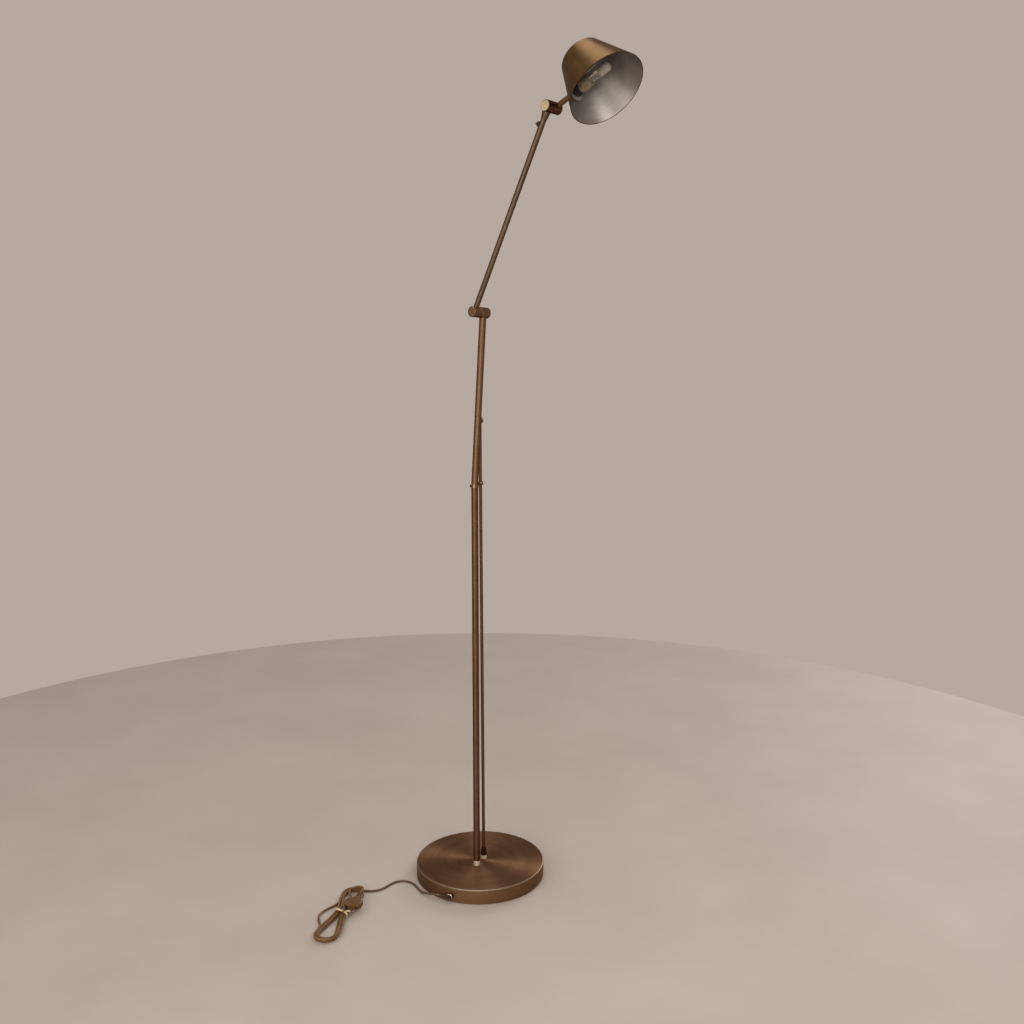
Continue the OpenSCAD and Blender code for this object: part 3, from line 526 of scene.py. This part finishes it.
tube_upper = metal("satin bronze upper tube", UPPER_DARK, UPPER_LIGHT, 0.50, 0.06, "place", UPPER,
                   aniso=0.25, turn=0.25)
tube_arm = metal("satin bronze arm tube", ARM_DARK, ARM_LIGHT, 0.50, 0.06, "place", ARM,
                 aniso=0.25, turn=0.25)
tube_stem = metal("satin bronze stem tube", UPPER_DARK, UPPER_LIGHT, 0.46, 0.06, "place", STEM)
barrel_metal = metal("dark turned bronze", (0.085, 0.034, 0.020), (0.160, 0.078, 0.048), 0.34, 0.06, "map",
                     fineness=1400.0)
knee_metal = metal("turned bronze barrel", (0.136, 0.074, 0.043), (0.252, 0.148, 0.093), 0.29, 0.06, "map",
                   fineness=1400.0)
cap_metal = metal("turned bronze cap", (0.22, 0.135, 0.080), (0.36, 0.24, 0.155), 0.28, 0.06, "map",
                  aniso=0.3)
cream_metal = metal("pale turned bronze", (0.66, 0.52, 0.34), (0.86, 0.72, 0.50), 0.36, 0.06, "map")
bright_bronze = metal("polished pale bronze", (0.60, 0.46, 0.33), (0.82, 0.68, 0.52), 0.30, 0.05, "place",
                      metallic=0.35)
bracket_bronze = metal("worn bronze bracket", (0.150, 0.082, 0.046), (0.300, 0.190, 0.115), 0.30, 0.06,
                       "place")
shade_outside = metal("satin bronze shade", (0.091, 0.047, 0.0175), (0.165, 0.095, 0.039), 0.40, 0.06, "map",
                      aniso=0.4, turn=0.25, edge=0.6, fineness=1500.0, breaks=2.4)
# The lip's dark colour is painted shade along the mouth's rim.
lip_painted_shade = metal("bronze lip painted as shade", (0.045, 0.026, 0.015), (0.090, 0.055, 0.033), 0.42, 0.05, "map")
shade_inside = metal("satin silver lining", (0.25, 0.228, 0.210), (0.39, 0.362, 0.340), 0.52, 0.06, "map",
                     aniso=0.3, turn=0.25, fineness=900.0, breaks=3.0)
dark_trim = moulded("dark brown trim", (0.020, 0.005, 0.003), (0.042, 0.012, 0.008), 0.45, gloss=0.1)
raw_iron = moulded("raw iron", (0.10, 0.10, 0.10), (0.19, 0.18, 0.17), 0.6, 60.0, 0.3, metallic=1.0)
foot_rubber = moulded("floor pad rubber", (0.02, 0.02, 0.02), (0.035, 0.034, 0.032), 0.75, 90.0, 0.3)
turned_brass = metal("turned brass", (0.55, 0.42, 0.22), (0.72, 0.58, 0.32), 0.28, 0.05, "place")
zinc = moulded("zinc plate", (0.52, 0.52, 0.50), (0.70, 0.70, 0.67), 0.35, 150.0, 0.15, metallic=1.0)
fibre = moulded("fibre washer", (0.02, 0.018, 0.016), (0.04, 0.035, 0.03), 0.7, 300.0, 0.3)
bright_steel = metal("polished steel", (0.54, 0.50, 0.46), (0.70, 0.66, 0.61), 0.30, 0.05, "place", STEM,
                     metallic=0.5)
pin_steel = metal("plug pin steel", (0.20, 0.18, 0.16), (0.32, 0.30, 0.27), 0.38, 0.05, "map")
black_moulding = moulded("black moulding", (0.008, 0.008, 0.008), (0.02, 0.019, 0.018), 0.45, 200.0, 0.2)
ceramic = moulded("cream ceramic", (0.24, 0.170, 0.104), (0.36, 0.270, 0.170), 0.55, 160.0, 0.25, gloss=0.3)
cable_white = moulded("white cable", (0.68, 0.65, 0.60), (0.78, 0.75, 0.70), 0.45)
clear_glass = glass("clear glass", (0.80, 0.78, 0.74), 0.06, 0.12)
frosted_glass = glass("frosted glass", (0.54, 0.46, 0.385), 0.42, 0.62)
brown_moulding = moulded("brown moulded plug", (0.077, 0.032, 0.0085), (0.144, 0.065, 0.019), 0.40, 110.0,
                         0.12,
                         gloss=0.3)
dark_moulding = moulded("dark brown outlet", (0.022, 0.011, 0.006), (0.045, 0.023, 0.012), 0.42, 110.0, 0.12,
                        gloss=0.3)
tie_cream = moulded("cream tie", (0.72, 0.50, 0.30), (0.85, 0.62, 0.40), 0.55, 260.0, 0.3)

# ---------------------------------------------------------------- mains cord, hank, tie and plug
# The hank, in millimetres: half a run, the outer fold's radius, half the waist, what each turn lies inside
# the last at the fold and at the waist, the turn where the winding turns back, and the rise over the waist.
CORD = 4.2
RUN, FOLD, WAIST, LAYER, WAIST_STEP = 72.5, 21.5, 10.6, 4.8, 5.2
TURN_BACK, HANK_END, LIFT = 1.75, 3 + 5 / 6, 1.0
LOW = CORD / 2 + 0.05
HANK_START_Y = 6
END_Y, END_FOLD, PLUG_X, PLUG_Z = -7.5, 12.8, -62.0, 15.9
STRAY_OUT, STRAY_FROM, STRAY_TO = 28.0, -50.0, 62.0
PIN_FOOT, PIN_ASIDE = 54.4, 9.3
TIE_Y, TIE_Z, TIE_HALVES = 1.3, 6.0, (2.8, 0.5)
# The outlet in the base's rim: its angle and height, the boot's own angle, foot and length.
OUTLET_ANGLE, OUTLET_Z = -70.5, 12.6
BOOT_ANGLE, BOOT_OUT, BOOT_LENGTH = -152.0, 129.4, 20
BOOT_AT = np.array([BOOT_OUT * np.cos(np.radians(OUTLET_ANGLE)), BOOT_OUT * np.sin(np.radians(OUTLET_ANGLE)),
                    OUTLET_Z])
BOOT_DIR = np.array([np.cos(np.radians(BOOT_ANGLE)), np.sin(np.radians(BOOT_ANGLE)), 0.0])
BOOT_TIP = BOOT_AT + BOOT_LENGTH * BOOT_DIR
ROUTE = np.array([
    [18, -134.5, 12.2], [9, -137, 10.8], [-1, -138, 8.6], [-11, -137.5, 6.2], [-21, -136, 4], [-31, -133,
                                                                                               2.6],
    [-41, -129.5, 2.2], [-51, -126.5, 2.2], [-61, -125, 2.2], [-71, -126.5, 2.2], [-80, -131.5, 2.2],
    [-86, -139.5, 2.2], [-88, -149, 2.2], [-87.5, -159, 2.2], [-86, -169, 2.2], [-85.5, -179, 2.2],
    [-87.5, -188.5, 2.2], [-92.5, -197.5, 2.2], [-100, -204.5, 2.2]])


def ease(t):
    """Smooth step from 0 to 1."""
    c = np.clip(t, 0, 1)
    return c * c * (3 - 2 * c)


def hank_line(u):
    """Points of the hank in its own frame at turn u: folds are half circles, each a third of a turn, runs are
    drawn in at the waist by a cosine, and each turn lies one step inside the last until the winding turns
    back a layer up."""
    p = u - np.floor(u)
    n = np.where(u < TURN_BACK, u, 2 * TURN_BACK - u)
    f, w = FOLD - LAYER * n, WAIST - WAIST_STEP * n

    def run_y(x):
        return w + (f - w) * (0.5 - 0.5 * np.cos(np.pi * x / RUN))

    a = np.radians(540) * p
    out_x, back_x = RUN * (12 * p - 3), RUN * (9 - 12 * p)
    bulge = np.where((u < 1) & (out_x > STRAY_FROM) & (out_x < STRAY_TO),
                     STRAY_OUT * np.sin(np.pi * (out_x - STRAY_FROM) / (STRAY_TO - STRAY_FROM)) ** 2, 0)
    last = u > HANK_END - 1 / 6
    home_y = run_y(back_x)
    home_y = np.where(last, home_y + (END_Y - home_y) * ease((-20 - back_x) / (RUN - 20)), home_y)
    parts = [p < 1 / 6, p < 1 / 3, p < 2 / 3, p < 5 / 6]
    x = np.select(parts, [-RUN - f * np.cos(a), out_x, RUN + f * np.sin(a - np.pi), back_x],
                  -RUN - f * np.sin(a - 2.5 * np.pi))
    y = np.select(parts, [-f * np.sin(a), -run_y(out_x) - bulge, -f * np.cos(a - np.pi), home_y],
                  f * np.cos(a - 2.5 * np.pi))
    z = (LOW + LIFT * np.exp(-(x / 24) ** 2) + LAYER * ease((u - TURN_BACK) / 0.2 + 0.5)
         + np.where(last, LAYER * ease((-1 - x) / 22), 0))
    return np.stack([x, y, z], -1)


def smooth_through(points, step):
    """A curve through the points (a Catmull-Rom curve on each stretch), at about one point a step."""
    p = np.concatenate([[2 * points[0] - points[1]], points, [2 * points[-1] - points[-2]]])
    out = []
    for k in range(1, len(p) - 2):
        m = max(2, int(round(np.linalg.norm(p[k + 1] - p[k]) / step)))
        t = (np.arange(m) / m)[:, None]
        slope = p[k + 1] - p[k - 1]
        bend = 2 * p[k - 1] - 5 * p[k] + 4 * p[k + 1] - p[k + 2]
        rest = 3 * p[k] - p[k - 1] - 3 * p[k + 1] + p[k + 2]
        out.append(0.5 * (2 * p[k] + slope * t + bend * t ** 2 + rest * t ** 3))
    return np.concatenate(out + [points[-1:]])


def cord_path():
    """The whole cord in millimetres: boot, floor, hank, last fold, plug. Also the plug's Y in the hank's
    frame and the metres of the free stretch."""
    wound = hank_line(np.arange(0, HANK_END - 1e-6, 1 / 90))
    end = hank_line(np.array([HANK_END - 1e-6]))[0]
    a = np.radians(np.arange(0, 181, 9.0))
    fold = np.stack([-RUN - END_FOLD * np.sin(a), end[1] + END_FOLD - END_FOLD * np.cos(a),
                     end[2] + (PLUG_Z - end[2]) * ease(a / np.pi)], -1)
    tail = np.array([[-67.0, fold[-1, 1], PLUG_Z], [PLUG_X, fold[-1, 1], PLUG_Z]])
    lead = np.array([[-RUN - FOLD, HANK_START_Y + CORD, LOW], [-RUN - FOLD, HANK_START_Y, LOW]])
    hank = np.concatenate([lead[1:], wound, fold, tail])
    turn, at = HANK.turn, HANK.origin
    join = lead[:1] @ turn.T + at
    hank = hank @ turn.T + at
    free = smooth_through(np.concatenate([BOOT_TIP[None], ROUTE, join, hank[:1]]), 3.0)
    loose = run_length(free)[-1] * MM
    return np.concatenate([free[:-1], hank]), fold[-1, 1], float(loose)


CORD_PATH, PLUG_Y, FREE_LENGTH = cord_path()
CORD_PATH = CORD_PATH * MM
# The free stretch's darker pair of colours is painted shade.
brown_sheath = cord_sheath("brown cord sheath", (0.095, 0.043, 0.0115), (0.218, 0.106, 0.031), FREE_LENGTH,
                           (0.080, 0.042, 0.022), (0.145, 0.080, 0.045))
PLUG = HANK.shift(PLUG_X, PLUG_Y, PLUG_Z)

cord = swept("mains_cord", CORD_PATH, ring(CORD / 2 * MM, 14), "base", ["cord_free", "cord_hank"],
             [brown_sheath])


def plug_piece():
    """The flat plug: a ribbed strain relief that widens into a moulded body with finger grips at its sides.
    The half width follows the moulding's outline, and the ribs add a small cosine to the relief."""
    x = np.concatenate([np.linspace(0, 20, 61), np.linspace(20.3, 54.0, 46), [54.3, 54.5, 54.5]])
    w = np.interp(x, [0, 20, 22, 28, 34, 40, 48, 52, 53.6, 54.5],
                  [2.7, 4.5, 6.0, 11.4, 15.6, 16.9, 16.8, 14.8, 13.6, 12.6])
    t = np.interp(x, [0, 20, 24, 30, 38, 48, 53, 54.5], [2.7, 4.4, 5.2, 6.2, 6.6, 6.6, 6.1, 5.2])
    relief = (x < 19.4) & (x > 2)
    rib = np.where(relief, 0.35 * np.cos(2 * np.pi * x / 3.1), 0)
    grip = np.where((x > 35) & (x < 49), 0.35 * np.cos(2 * np.pi * (x - 35) / 2.4), 0)
    k = np.interp(x, [0, 20, 30, 54.5], [2.0, 2.0, 3.4, 4.2])
    shrink = np.where(np.arange(len(x)) == len(x) - 1, 0.6, 1.0)
    return loft("plug_moulding", PLUG, x, (w + rib + grip) * shrink, (t + rib) * shrink, k, "base",
                ["plug_body"], [brown_moulding], 48)


def plug_pin_pieces():
    """Each pin is a dark sleeve and a steel tip with a rounded end, turned about the pin's own axis."""
    sleeve = [(0, 0, 0), (2.0, 0, 0), (2.0, 13, 0.3), (1.9, 13.2, 0), (0, 13.2, 0)]
    tip = [(0, 13, 0), (1.88, 13, 0), (1.95, 16.0, 0.5), (1.4, 18.0, 0.8), (0.0, 18.9, 0)]
    out = []
    for label, side in (("left", -1), ("right", 1)):
        at = PLUG.shift(PIN_FOOT, side * PIN_ASIDE, 0).rotate(turn_y(90))
        out.append(turned(f"plug_pin_sleeve_{label}", at, sleeve, "base", [], [dark_moulding], 24))
        out.append(turned(f"plug_pin_tip_{label}", at, tip, "base", ["plug_pins"] if side > 0 else [],
                          [pin_steel], 24))
    return out


def tie_piece():
    """A flat strip round the waist: a rounded-box loop in the plane across the hank, leaned along it, whose
    strip section is carried round, with its two ends crossed and one left standing as a short tail."""
    t = np.linspace(0, 1, 121)
    a = 2 * np.pi * t + np.radians(70)
    c, s = np.cos(a), np.sin(a)
    e = 2 / 4.0
    y = TIE_Y + 13.3 * np.sign(c) * np.abs(c) ** e
    z = TIE_Z + 5.1 * np.sign(s) * np.abs(s) ** e
    x = -1.0 + 0.42 * (y - TIE_Y) + 1.2 * t
    loop = np.stack([x, y, z], 1)
    end = loop[-1]
    t = np.linspace(0, 1, 14)[1:]
    rise = 0.5 + 1.3 * np.sin(np.pi * t) - 0.6 * t
    line = np.concatenate([loop, np.stack([end[0] - 5 * t, end[1] + 9.5 * t, end[2] + rise], 1)])
    step = np.gradient(line, axis=0)
    step /= np.linalg.norm(step, axis=1)[:, None]
    wide = np.array([1.0, 0, 0]) - step * step[:, :1]
    wide /= np.linalg.norm(wide, axis=1)[:, None]
    pts = carried(line, ring(1.0, 12) * TIE_HALVES, wide, np.cross(step, wide))
    return ringed("hank_tie_strip", HANK.world(pts), HANK.world(line[[0, -1]]), run_length(line) * MM, "base",
                  ["hank_tie"], [tie_cream])


plug = plug_piece()
pins = plug_pin_pieces()
tie = tie_piece()


# ---------------------------------------------------------------- base
BASE_R, BASE_TOP, BASE_FOOT, BASE_SHEET = 125, 28.7, 0.5, 1.2


def base_cover_piece():
    """The pressed cover: flat brushed top, small rounded edge painted bright as a highlight, upright skirt
    and inner wall.
    """
    inner_r, under = BASE_R - BASE_SHEET, BASE_TOP - BASE_SHEET
    corners = [(0, BASE_TOP, 0), (60, BASE_TOP, 0), (BASE_R, BASE_TOP, 2.0), (BASE_R, BASE_FOOT, 0.35),
               (inner_r, BASE_FOOT, 0.35), (inner_r, under, 0.8), (60, under, 0), (0, under, 0)]
    turned("base_cover_brushed", FLOOR, corners, "base", ["base_cover"],
           [brushed_top, painted_highlight_edge, skirt_metal], 192, paint={2: (1, 2), 5: (0, 0)})


def gland_pieces():
    """The moulded outlet: a round head with a ring groove and a pale front ring painted as a highlight, and a
    ribbed boot that points along the rim.
    """
    head = Place(turn_z(OUTLET_ANGLE) @ turn_y(90), (0, 0, OUTLET_Z)).shift(0, 0, BASE_R - 4)
    corners = [(0, 0, 0), (4, 0, 0), (4, 4.05, 0), (6.2, 4.05, 0.5), (6.2, 8.6, 0.4), (5.7, 9.2, 0.3),
               (6.2, 9.8, 0.3), (6.2, 11.2, 0.4), (5.2, 12.4, 0.4), (3.2, 12.4, 0.4), (2.9, 12.0, 0.3),
               (0, 12.0, 0)]
    # The front chamfer ring is painted pale bronze as a highlight.
    turned("outlet_head", head, corners, "base", ["cord_gland"], [dark_moulding, cream_metal], 48,
           paint={7: (1, 1), 8: (0, 0)})
    x = np.linspace(0, BOOT_LENGTH, 81)
    ribs = np.where((x > 3) & (x < 18.5), 0.28 * np.cos(2 * np.pi * x / 2.9), 0)
    r = np.interp(x, [0, BOOT_LENGTH], [3.6, 2.6]) + ribs
    boot = Place(turn_z(BOOT_ANGLE), BOOT_AT)
    loft("outlet_boot", boot, x, r, r, np.full(len(x), 2.0), "base", [], [dark_moulding], 28)


base_cover_piece()
gland_pieces()


# ---------------------------------------------------------------- knuckles
# Half the gap between a knuckle's halves, the length of a half, and the radii of bore, cup, barrel and lid.
WASHER_HALF, KNEE_HALF, ELBOW_HALF = 0.35, 19.15, 15.75
BORE_R, CUP_R, BARREL_R = 4.05, 7.15, 9.75
SPIGOT_R, LID_R = 7.1, 9.5


def along(place, y):
    """The frame whose Z runs along the knuckle's Y axis, starting at y."""
    return place.shift(0, y, 0).rotate(ALONG_Y)


def against(place, y):
    """The frame whose Z runs the other way, starting at -y."""
    return place.shift(0, -y, 0).rotate(turn_x(90))


def knuckle_half(name, place, length, body, node, material):
    """Half a knuckle: a turned cup with eased edges, its wall folded in at the open end."""
    corners = [(BORE_R, 0, 0), (BARREL_R, 0, 0.5), (BARREL_R, length, 0.5), (8.9, length, 0.25),
               (CUP_R, length - 1.0, 0.3), (CUP_R, 3.3, 0), (BORE_R, 3.3, 0)]
    turned(name, place, corners, body, [node], [material], 72, closed=True)


knuckle_half("knee_barrel_far", along(KNEE, WASHER_HALF), KNEE_HALF, "upper_section", "knee_lower",
             knee_metal)
knuckle_half("knee_barrel_near", against(KNEE, WASHER_HALF), KNEE_HALF, "arm", "knee_upper", knee_metal)
knuckle_half("elbow_barrel_near", against(ELBOW, WASHER_HALF), ELBOW_HALF, "arm", "elbow_lower", barrel_metal)
knuckle_half("elbow_barrel_far", along(ELBOW, WASHER_HALF), ELBOW_HALF, "head", "elbow_upper", barrel_metal)


def lid(name, place, body, node, material, dome):
    """A lid over the barrel's end with a spigot inside: slightly domed, or flat with an outer ring in the
    barrel's dark finish painted as shade at the barrel's rim.
    """
    corners = [(0, -2, 0), (SPIGOT_R, -2, 0), (SPIGOT_R, 0, 0), (LID_R, 0, 0.1)]
    if dome:
        corners += [(LID_R, 0.2, 0.2), (7.0, 0.95, 3.0), (0.0, 1, 0)]
        turned(name, place, corners, body, [node], [material], 64)
    else:
        # The flat lid's outer ring takes the barrel's dark finish as painted shade at the rim.
        corners += [(LID_R, 1, 0.35), (8.85, 1, 0.05), (8.75, 0.88, 0.05), (0.0, 0.88, 0)]
        turned(name, place, corners, body, [node], [barrel_metal, material], 64, paint={6: (1, 1)})


KNEE_END, ELBOW_END = KNEE_HALF + WASHER_HALF, ELBOW_HALF + WASHER_HALF
lid("knee_lid_far", along(KNEE, KNEE_END), "upper_section", "knee_cap_far", cap_metal, True)
lid("knee_lid_near", against(KNEE, KNEE_END), "arm", "knee_cap_near", cap_metal, True)
lid("elbow_lid_near", against(ELBOW, ELBOW_END), "arm", "elbow_cap_near", cream_metal, False)
lid("elbow_lid_far", along(ELBOW, ELBOW_END), "head", "elbow_cap_far", cap_metal, False)


# ---------------------------------------------------------------- shade and bulb
LIP_DEPTH, LIP_WIDTH, CROWN_SHEET = 1.3, 1.2, 1.0
BULB_SEAT = 103.074


def shade_piece():
    """The cone: flat crown with a rounded edge, straight wall, small rolled lip at the mouth painted dark as
    shade, silver inside."""
    back = LIP_DEPTH * np.array([np.sin(np.radians(HALF_ANGLE)), np.cos(np.radians(HALF_ANGLE))])
    corners = [(0, 0, 0), (20, 0, 0), (CROWN_R, 0, 3.0), (MOUTH_R - back[0], SHADE_H - back[1], 0),
               (MOUTH_R, SHADE_H, 0.5), (MOUTH_R - LIP_WIDTH, SHADE_H, 0.5), (CROWN_R - 0.85, CROWN_SHEET,
                                                                              2.2),
               (20, CROWN_SHEET, 0), (0, CROWN_SHEET, 0)]
    turned("cone_shade", SHADE, corners, "shade", ["shade"],
           [shade_outside, lip_painted_shade, shade_inside], 160, paint={3: (1, 1), 5: (1, 2)})


def bulb_pieces():
    """The capsule bulb: a frosted finger with a round end, on the carried-over clear pinch."""
    corners = [(0, 0, 0), (6.4, 0, 0.6), (7.25, 1.2, 0.8), (7.25, 19.6, 5.0), (3.2, 22.9, 1.5), (0, 23, 0)]
    turned("bulb_frosted", STEM.shift(0, 0, BULB_SEAT), corners, "head", ["bulb_capsule"],
           [frosted_glass], 48)


shade_piece()
bulb_pieces()

# ---------------------------------------------------------------- finishes on the carried-over pieces
FINISHES = {
    bright_bronze: ["foot_collar", "rod_nut"],
    bracket_bronze: ["rod_finial", "coupling_bracket", "coupling_spigot", "switch_boss", "switch_lever"],
    tube_upright: ["lower_mast", "side_rod"],
    tube_upper: ["upper_mast"],
    tube_arm: ["upper_arm", "arm_neck"],
    tube_stem: ["shade_stem", "stem_collar"],
    dark_trim: ["rod_sleeve", "bracket_screw"],
    raw_iron: ["base_weight"],
    foot_rubber: ["base_pad"],
    turned_brass: ["mast_nipple", "knee_nipple", "elbow_nipple"],
    zinc: ["mast_nut", "mast_spacer", "knee_nuts", "elbow_nuts"],
    fibre: ["knee_washer", "elbow_washer"],
    bright_steel: ["shade_washer", "bulb_pins"],
    black_moulding: ["holder_base"],
    ceramic: ["holder_ceramic"],
    clear_glass: ["bulb_base"],
    cable_white: ["switch_body", "cable_base", "cable_lower_mast", "cable_upper_mast", "cable_arm",
                  "cable_head"],
}
for finish, nodes in FINISHES.items():
    for node in nodes:
        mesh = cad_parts[node].data
        mesh.materials.clear()
        mesh.materials.append(finish)


# ---------------------------------------------------------------- floor, light and background
WALL = (0.468, 0.396, 0.347)
FLOOR_DARK, FLOOR_LIGHT = (0.475, 0.400, 0.348), (0.535, 0.455, 0.400)
FLOOR_RINGS = np.array([0.001, 0.4, 0.8, 1.2, 1.7563])
FLOOR_X, FLOOR_Y, FLOOR_SIDES = 0.015, 0.018, 128
ROOM_LIGHT, ROOM_STRENGTH = (1.0, 0.97, 0.93), 0.33


def floor_piece():
    """A round pale floor: rings of a disc, radius times cos and sin of the angle."""
    ang = np.arange(FLOOR_SIDES) * 2 * np.pi / FLOOR_SIDES
    pts = np.stack([FLOOR_RINGS[:, None] * np.cos(ang) - FLOOR_X, FLOOR_RINGS[:,
                                                                              None] * np.sin(ang) - FLOOR_Y,
                    np.zeros((len(FLOOR_RINGS), FLOOR_SIDES))], -1)
    quads = grid_faces(len(FLOOR_RINGS), FLOOR_SIDES, False)[0]
    mat, tree, shader = new_material("pale floor")
    vec = place_vector(tree)
    cloud = noise(tree, vec, 3.0, 4.0, 0.55)
    tree.links.new(ramp(tree, cloud, [(0.3, FLOOR_DARK), (0.7, FLOOR_LIGHT)]), shader.inputs["Base Color"])
    shader.inputs["Roughness"].default_value = 0.6
    bump(tree, shader, noise(tree, vec, 160.0, 4.0), 0.15, 0.0006)
    uvs = np.zeros((len(quads), 4, 2))
    add_piece("floor", pts.reshape(-1, 3), quads, uvs, None, None, [mat])


def add_area(name, right, away, height, towards, size, watts, colour, tall=None):
    """A soft rectangular light that faces a point. Its place is given as metres to the camera's right, away
    from the camera and up, counted from the part's origin."""
    at = right * RIGHT + away * AWAY + [0, 0, height]
    data = bpy.data.lights.new(name, "AREA")
    data.shape = "RECTANGLE"
    data.size = size
    data.size_y = tall or size
    data.energy = watts
    data.color = colour
    obj = bpy.data.objects.new(name, data)
    bpy.context.scene.collection.objects.link(obj)
    back = at - np.array(towards, float)
    back /= np.linalg.norm(back)
    side = np.cross([0, 1, 0] if abs(back[2]) > 0.9 else [0, 0, 1], back)
    side /= np.linalg.norm(side)
    up = np.cross(back, side)
    rows = [[side[k], up[k], back[k], at[k]] for k in range(3)]
    obj.matrix_world = Matrix(rows + [[0, 0, 0, 1]])
    obj.visible_camera = False


def add_world():
    """Even light all round; the camera, gloss and glass see the wall's own colour."""
    world = bpy.data.worlds.new("room")
    bpy.context.scene.world = world
    world.use_nodes = True
    tree = world.node_tree
    tree.nodes.clear()
    lit, seen = tree.nodes.new("ShaderNodeBackground"), tree.nodes.new("ShaderNodeBackground")
    lit.inputs["Color"].default_value = (*ROOM_LIGHT, 1)
    lit.inputs["Strength"].default_value = ROOM_STRENGTH
    seen.inputs["Color"].default_value = (*WALL, 1)
    path = tree.nodes.new("ShaderNodeLightPath")
    some = math(tree, "MAXIMUM", path.outputs["Is Camera Ray"], path.outputs["Is Glossy Ray"])
    every = math(tree, "MAXIMUM", some, path.outputs["Is Transmission Ray"])
    mix = tree.nodes.new("ShaderNodeMixShader")
    tree.links.new(every, mix.inputs[0])
    tree.links.new(lit.outputs[0], mix.inputs[1])
    tree.links.new(seen.outputs[0], mix.inputs[2])
    out = tree.nodes.new("ShaderNodeOutputWorld")
    tree.links.new(mix.outputs[0], out.inputs["Surface"])


RIGHT, AWAY = np.array(CAMERA_RIGHT), np.array([-CAMERA_RIGHT[1], CAMERA_RIGHT[0], 0.0])
SHADE_AT = (0.25, 0, 1.45)
floor_piece()
add_area("overhead", -0.10, 0.50, 2.86, SHADE_AT, 0.8, 9, (1.0, 0.98, 0.95))
add_area("low_right", 3.6, 5.0, 3.0, (0, 0, 0.2), 2.9, 145, (1.0, 0.95, 0.9))
add_area("high_front", 0.9, -2.05, 2.35, SHADE_AT, 0.9, 24, (1.0, 0.98, 0.96))
add_area("left_fill", -2.6, -0.3, 3.2, (0, 0, 1.1), 1.0, 8, (1.0, 0.97, 0.94))
add_area("front_strip", -0.75, -2.2, 0.95, (0, 0, 0.85), 2.2, 34, (1.0, 0.95, 0.88), tall=1.7)
add_world()
bpy.context.scene.view_settings.view_transform = "Standard"
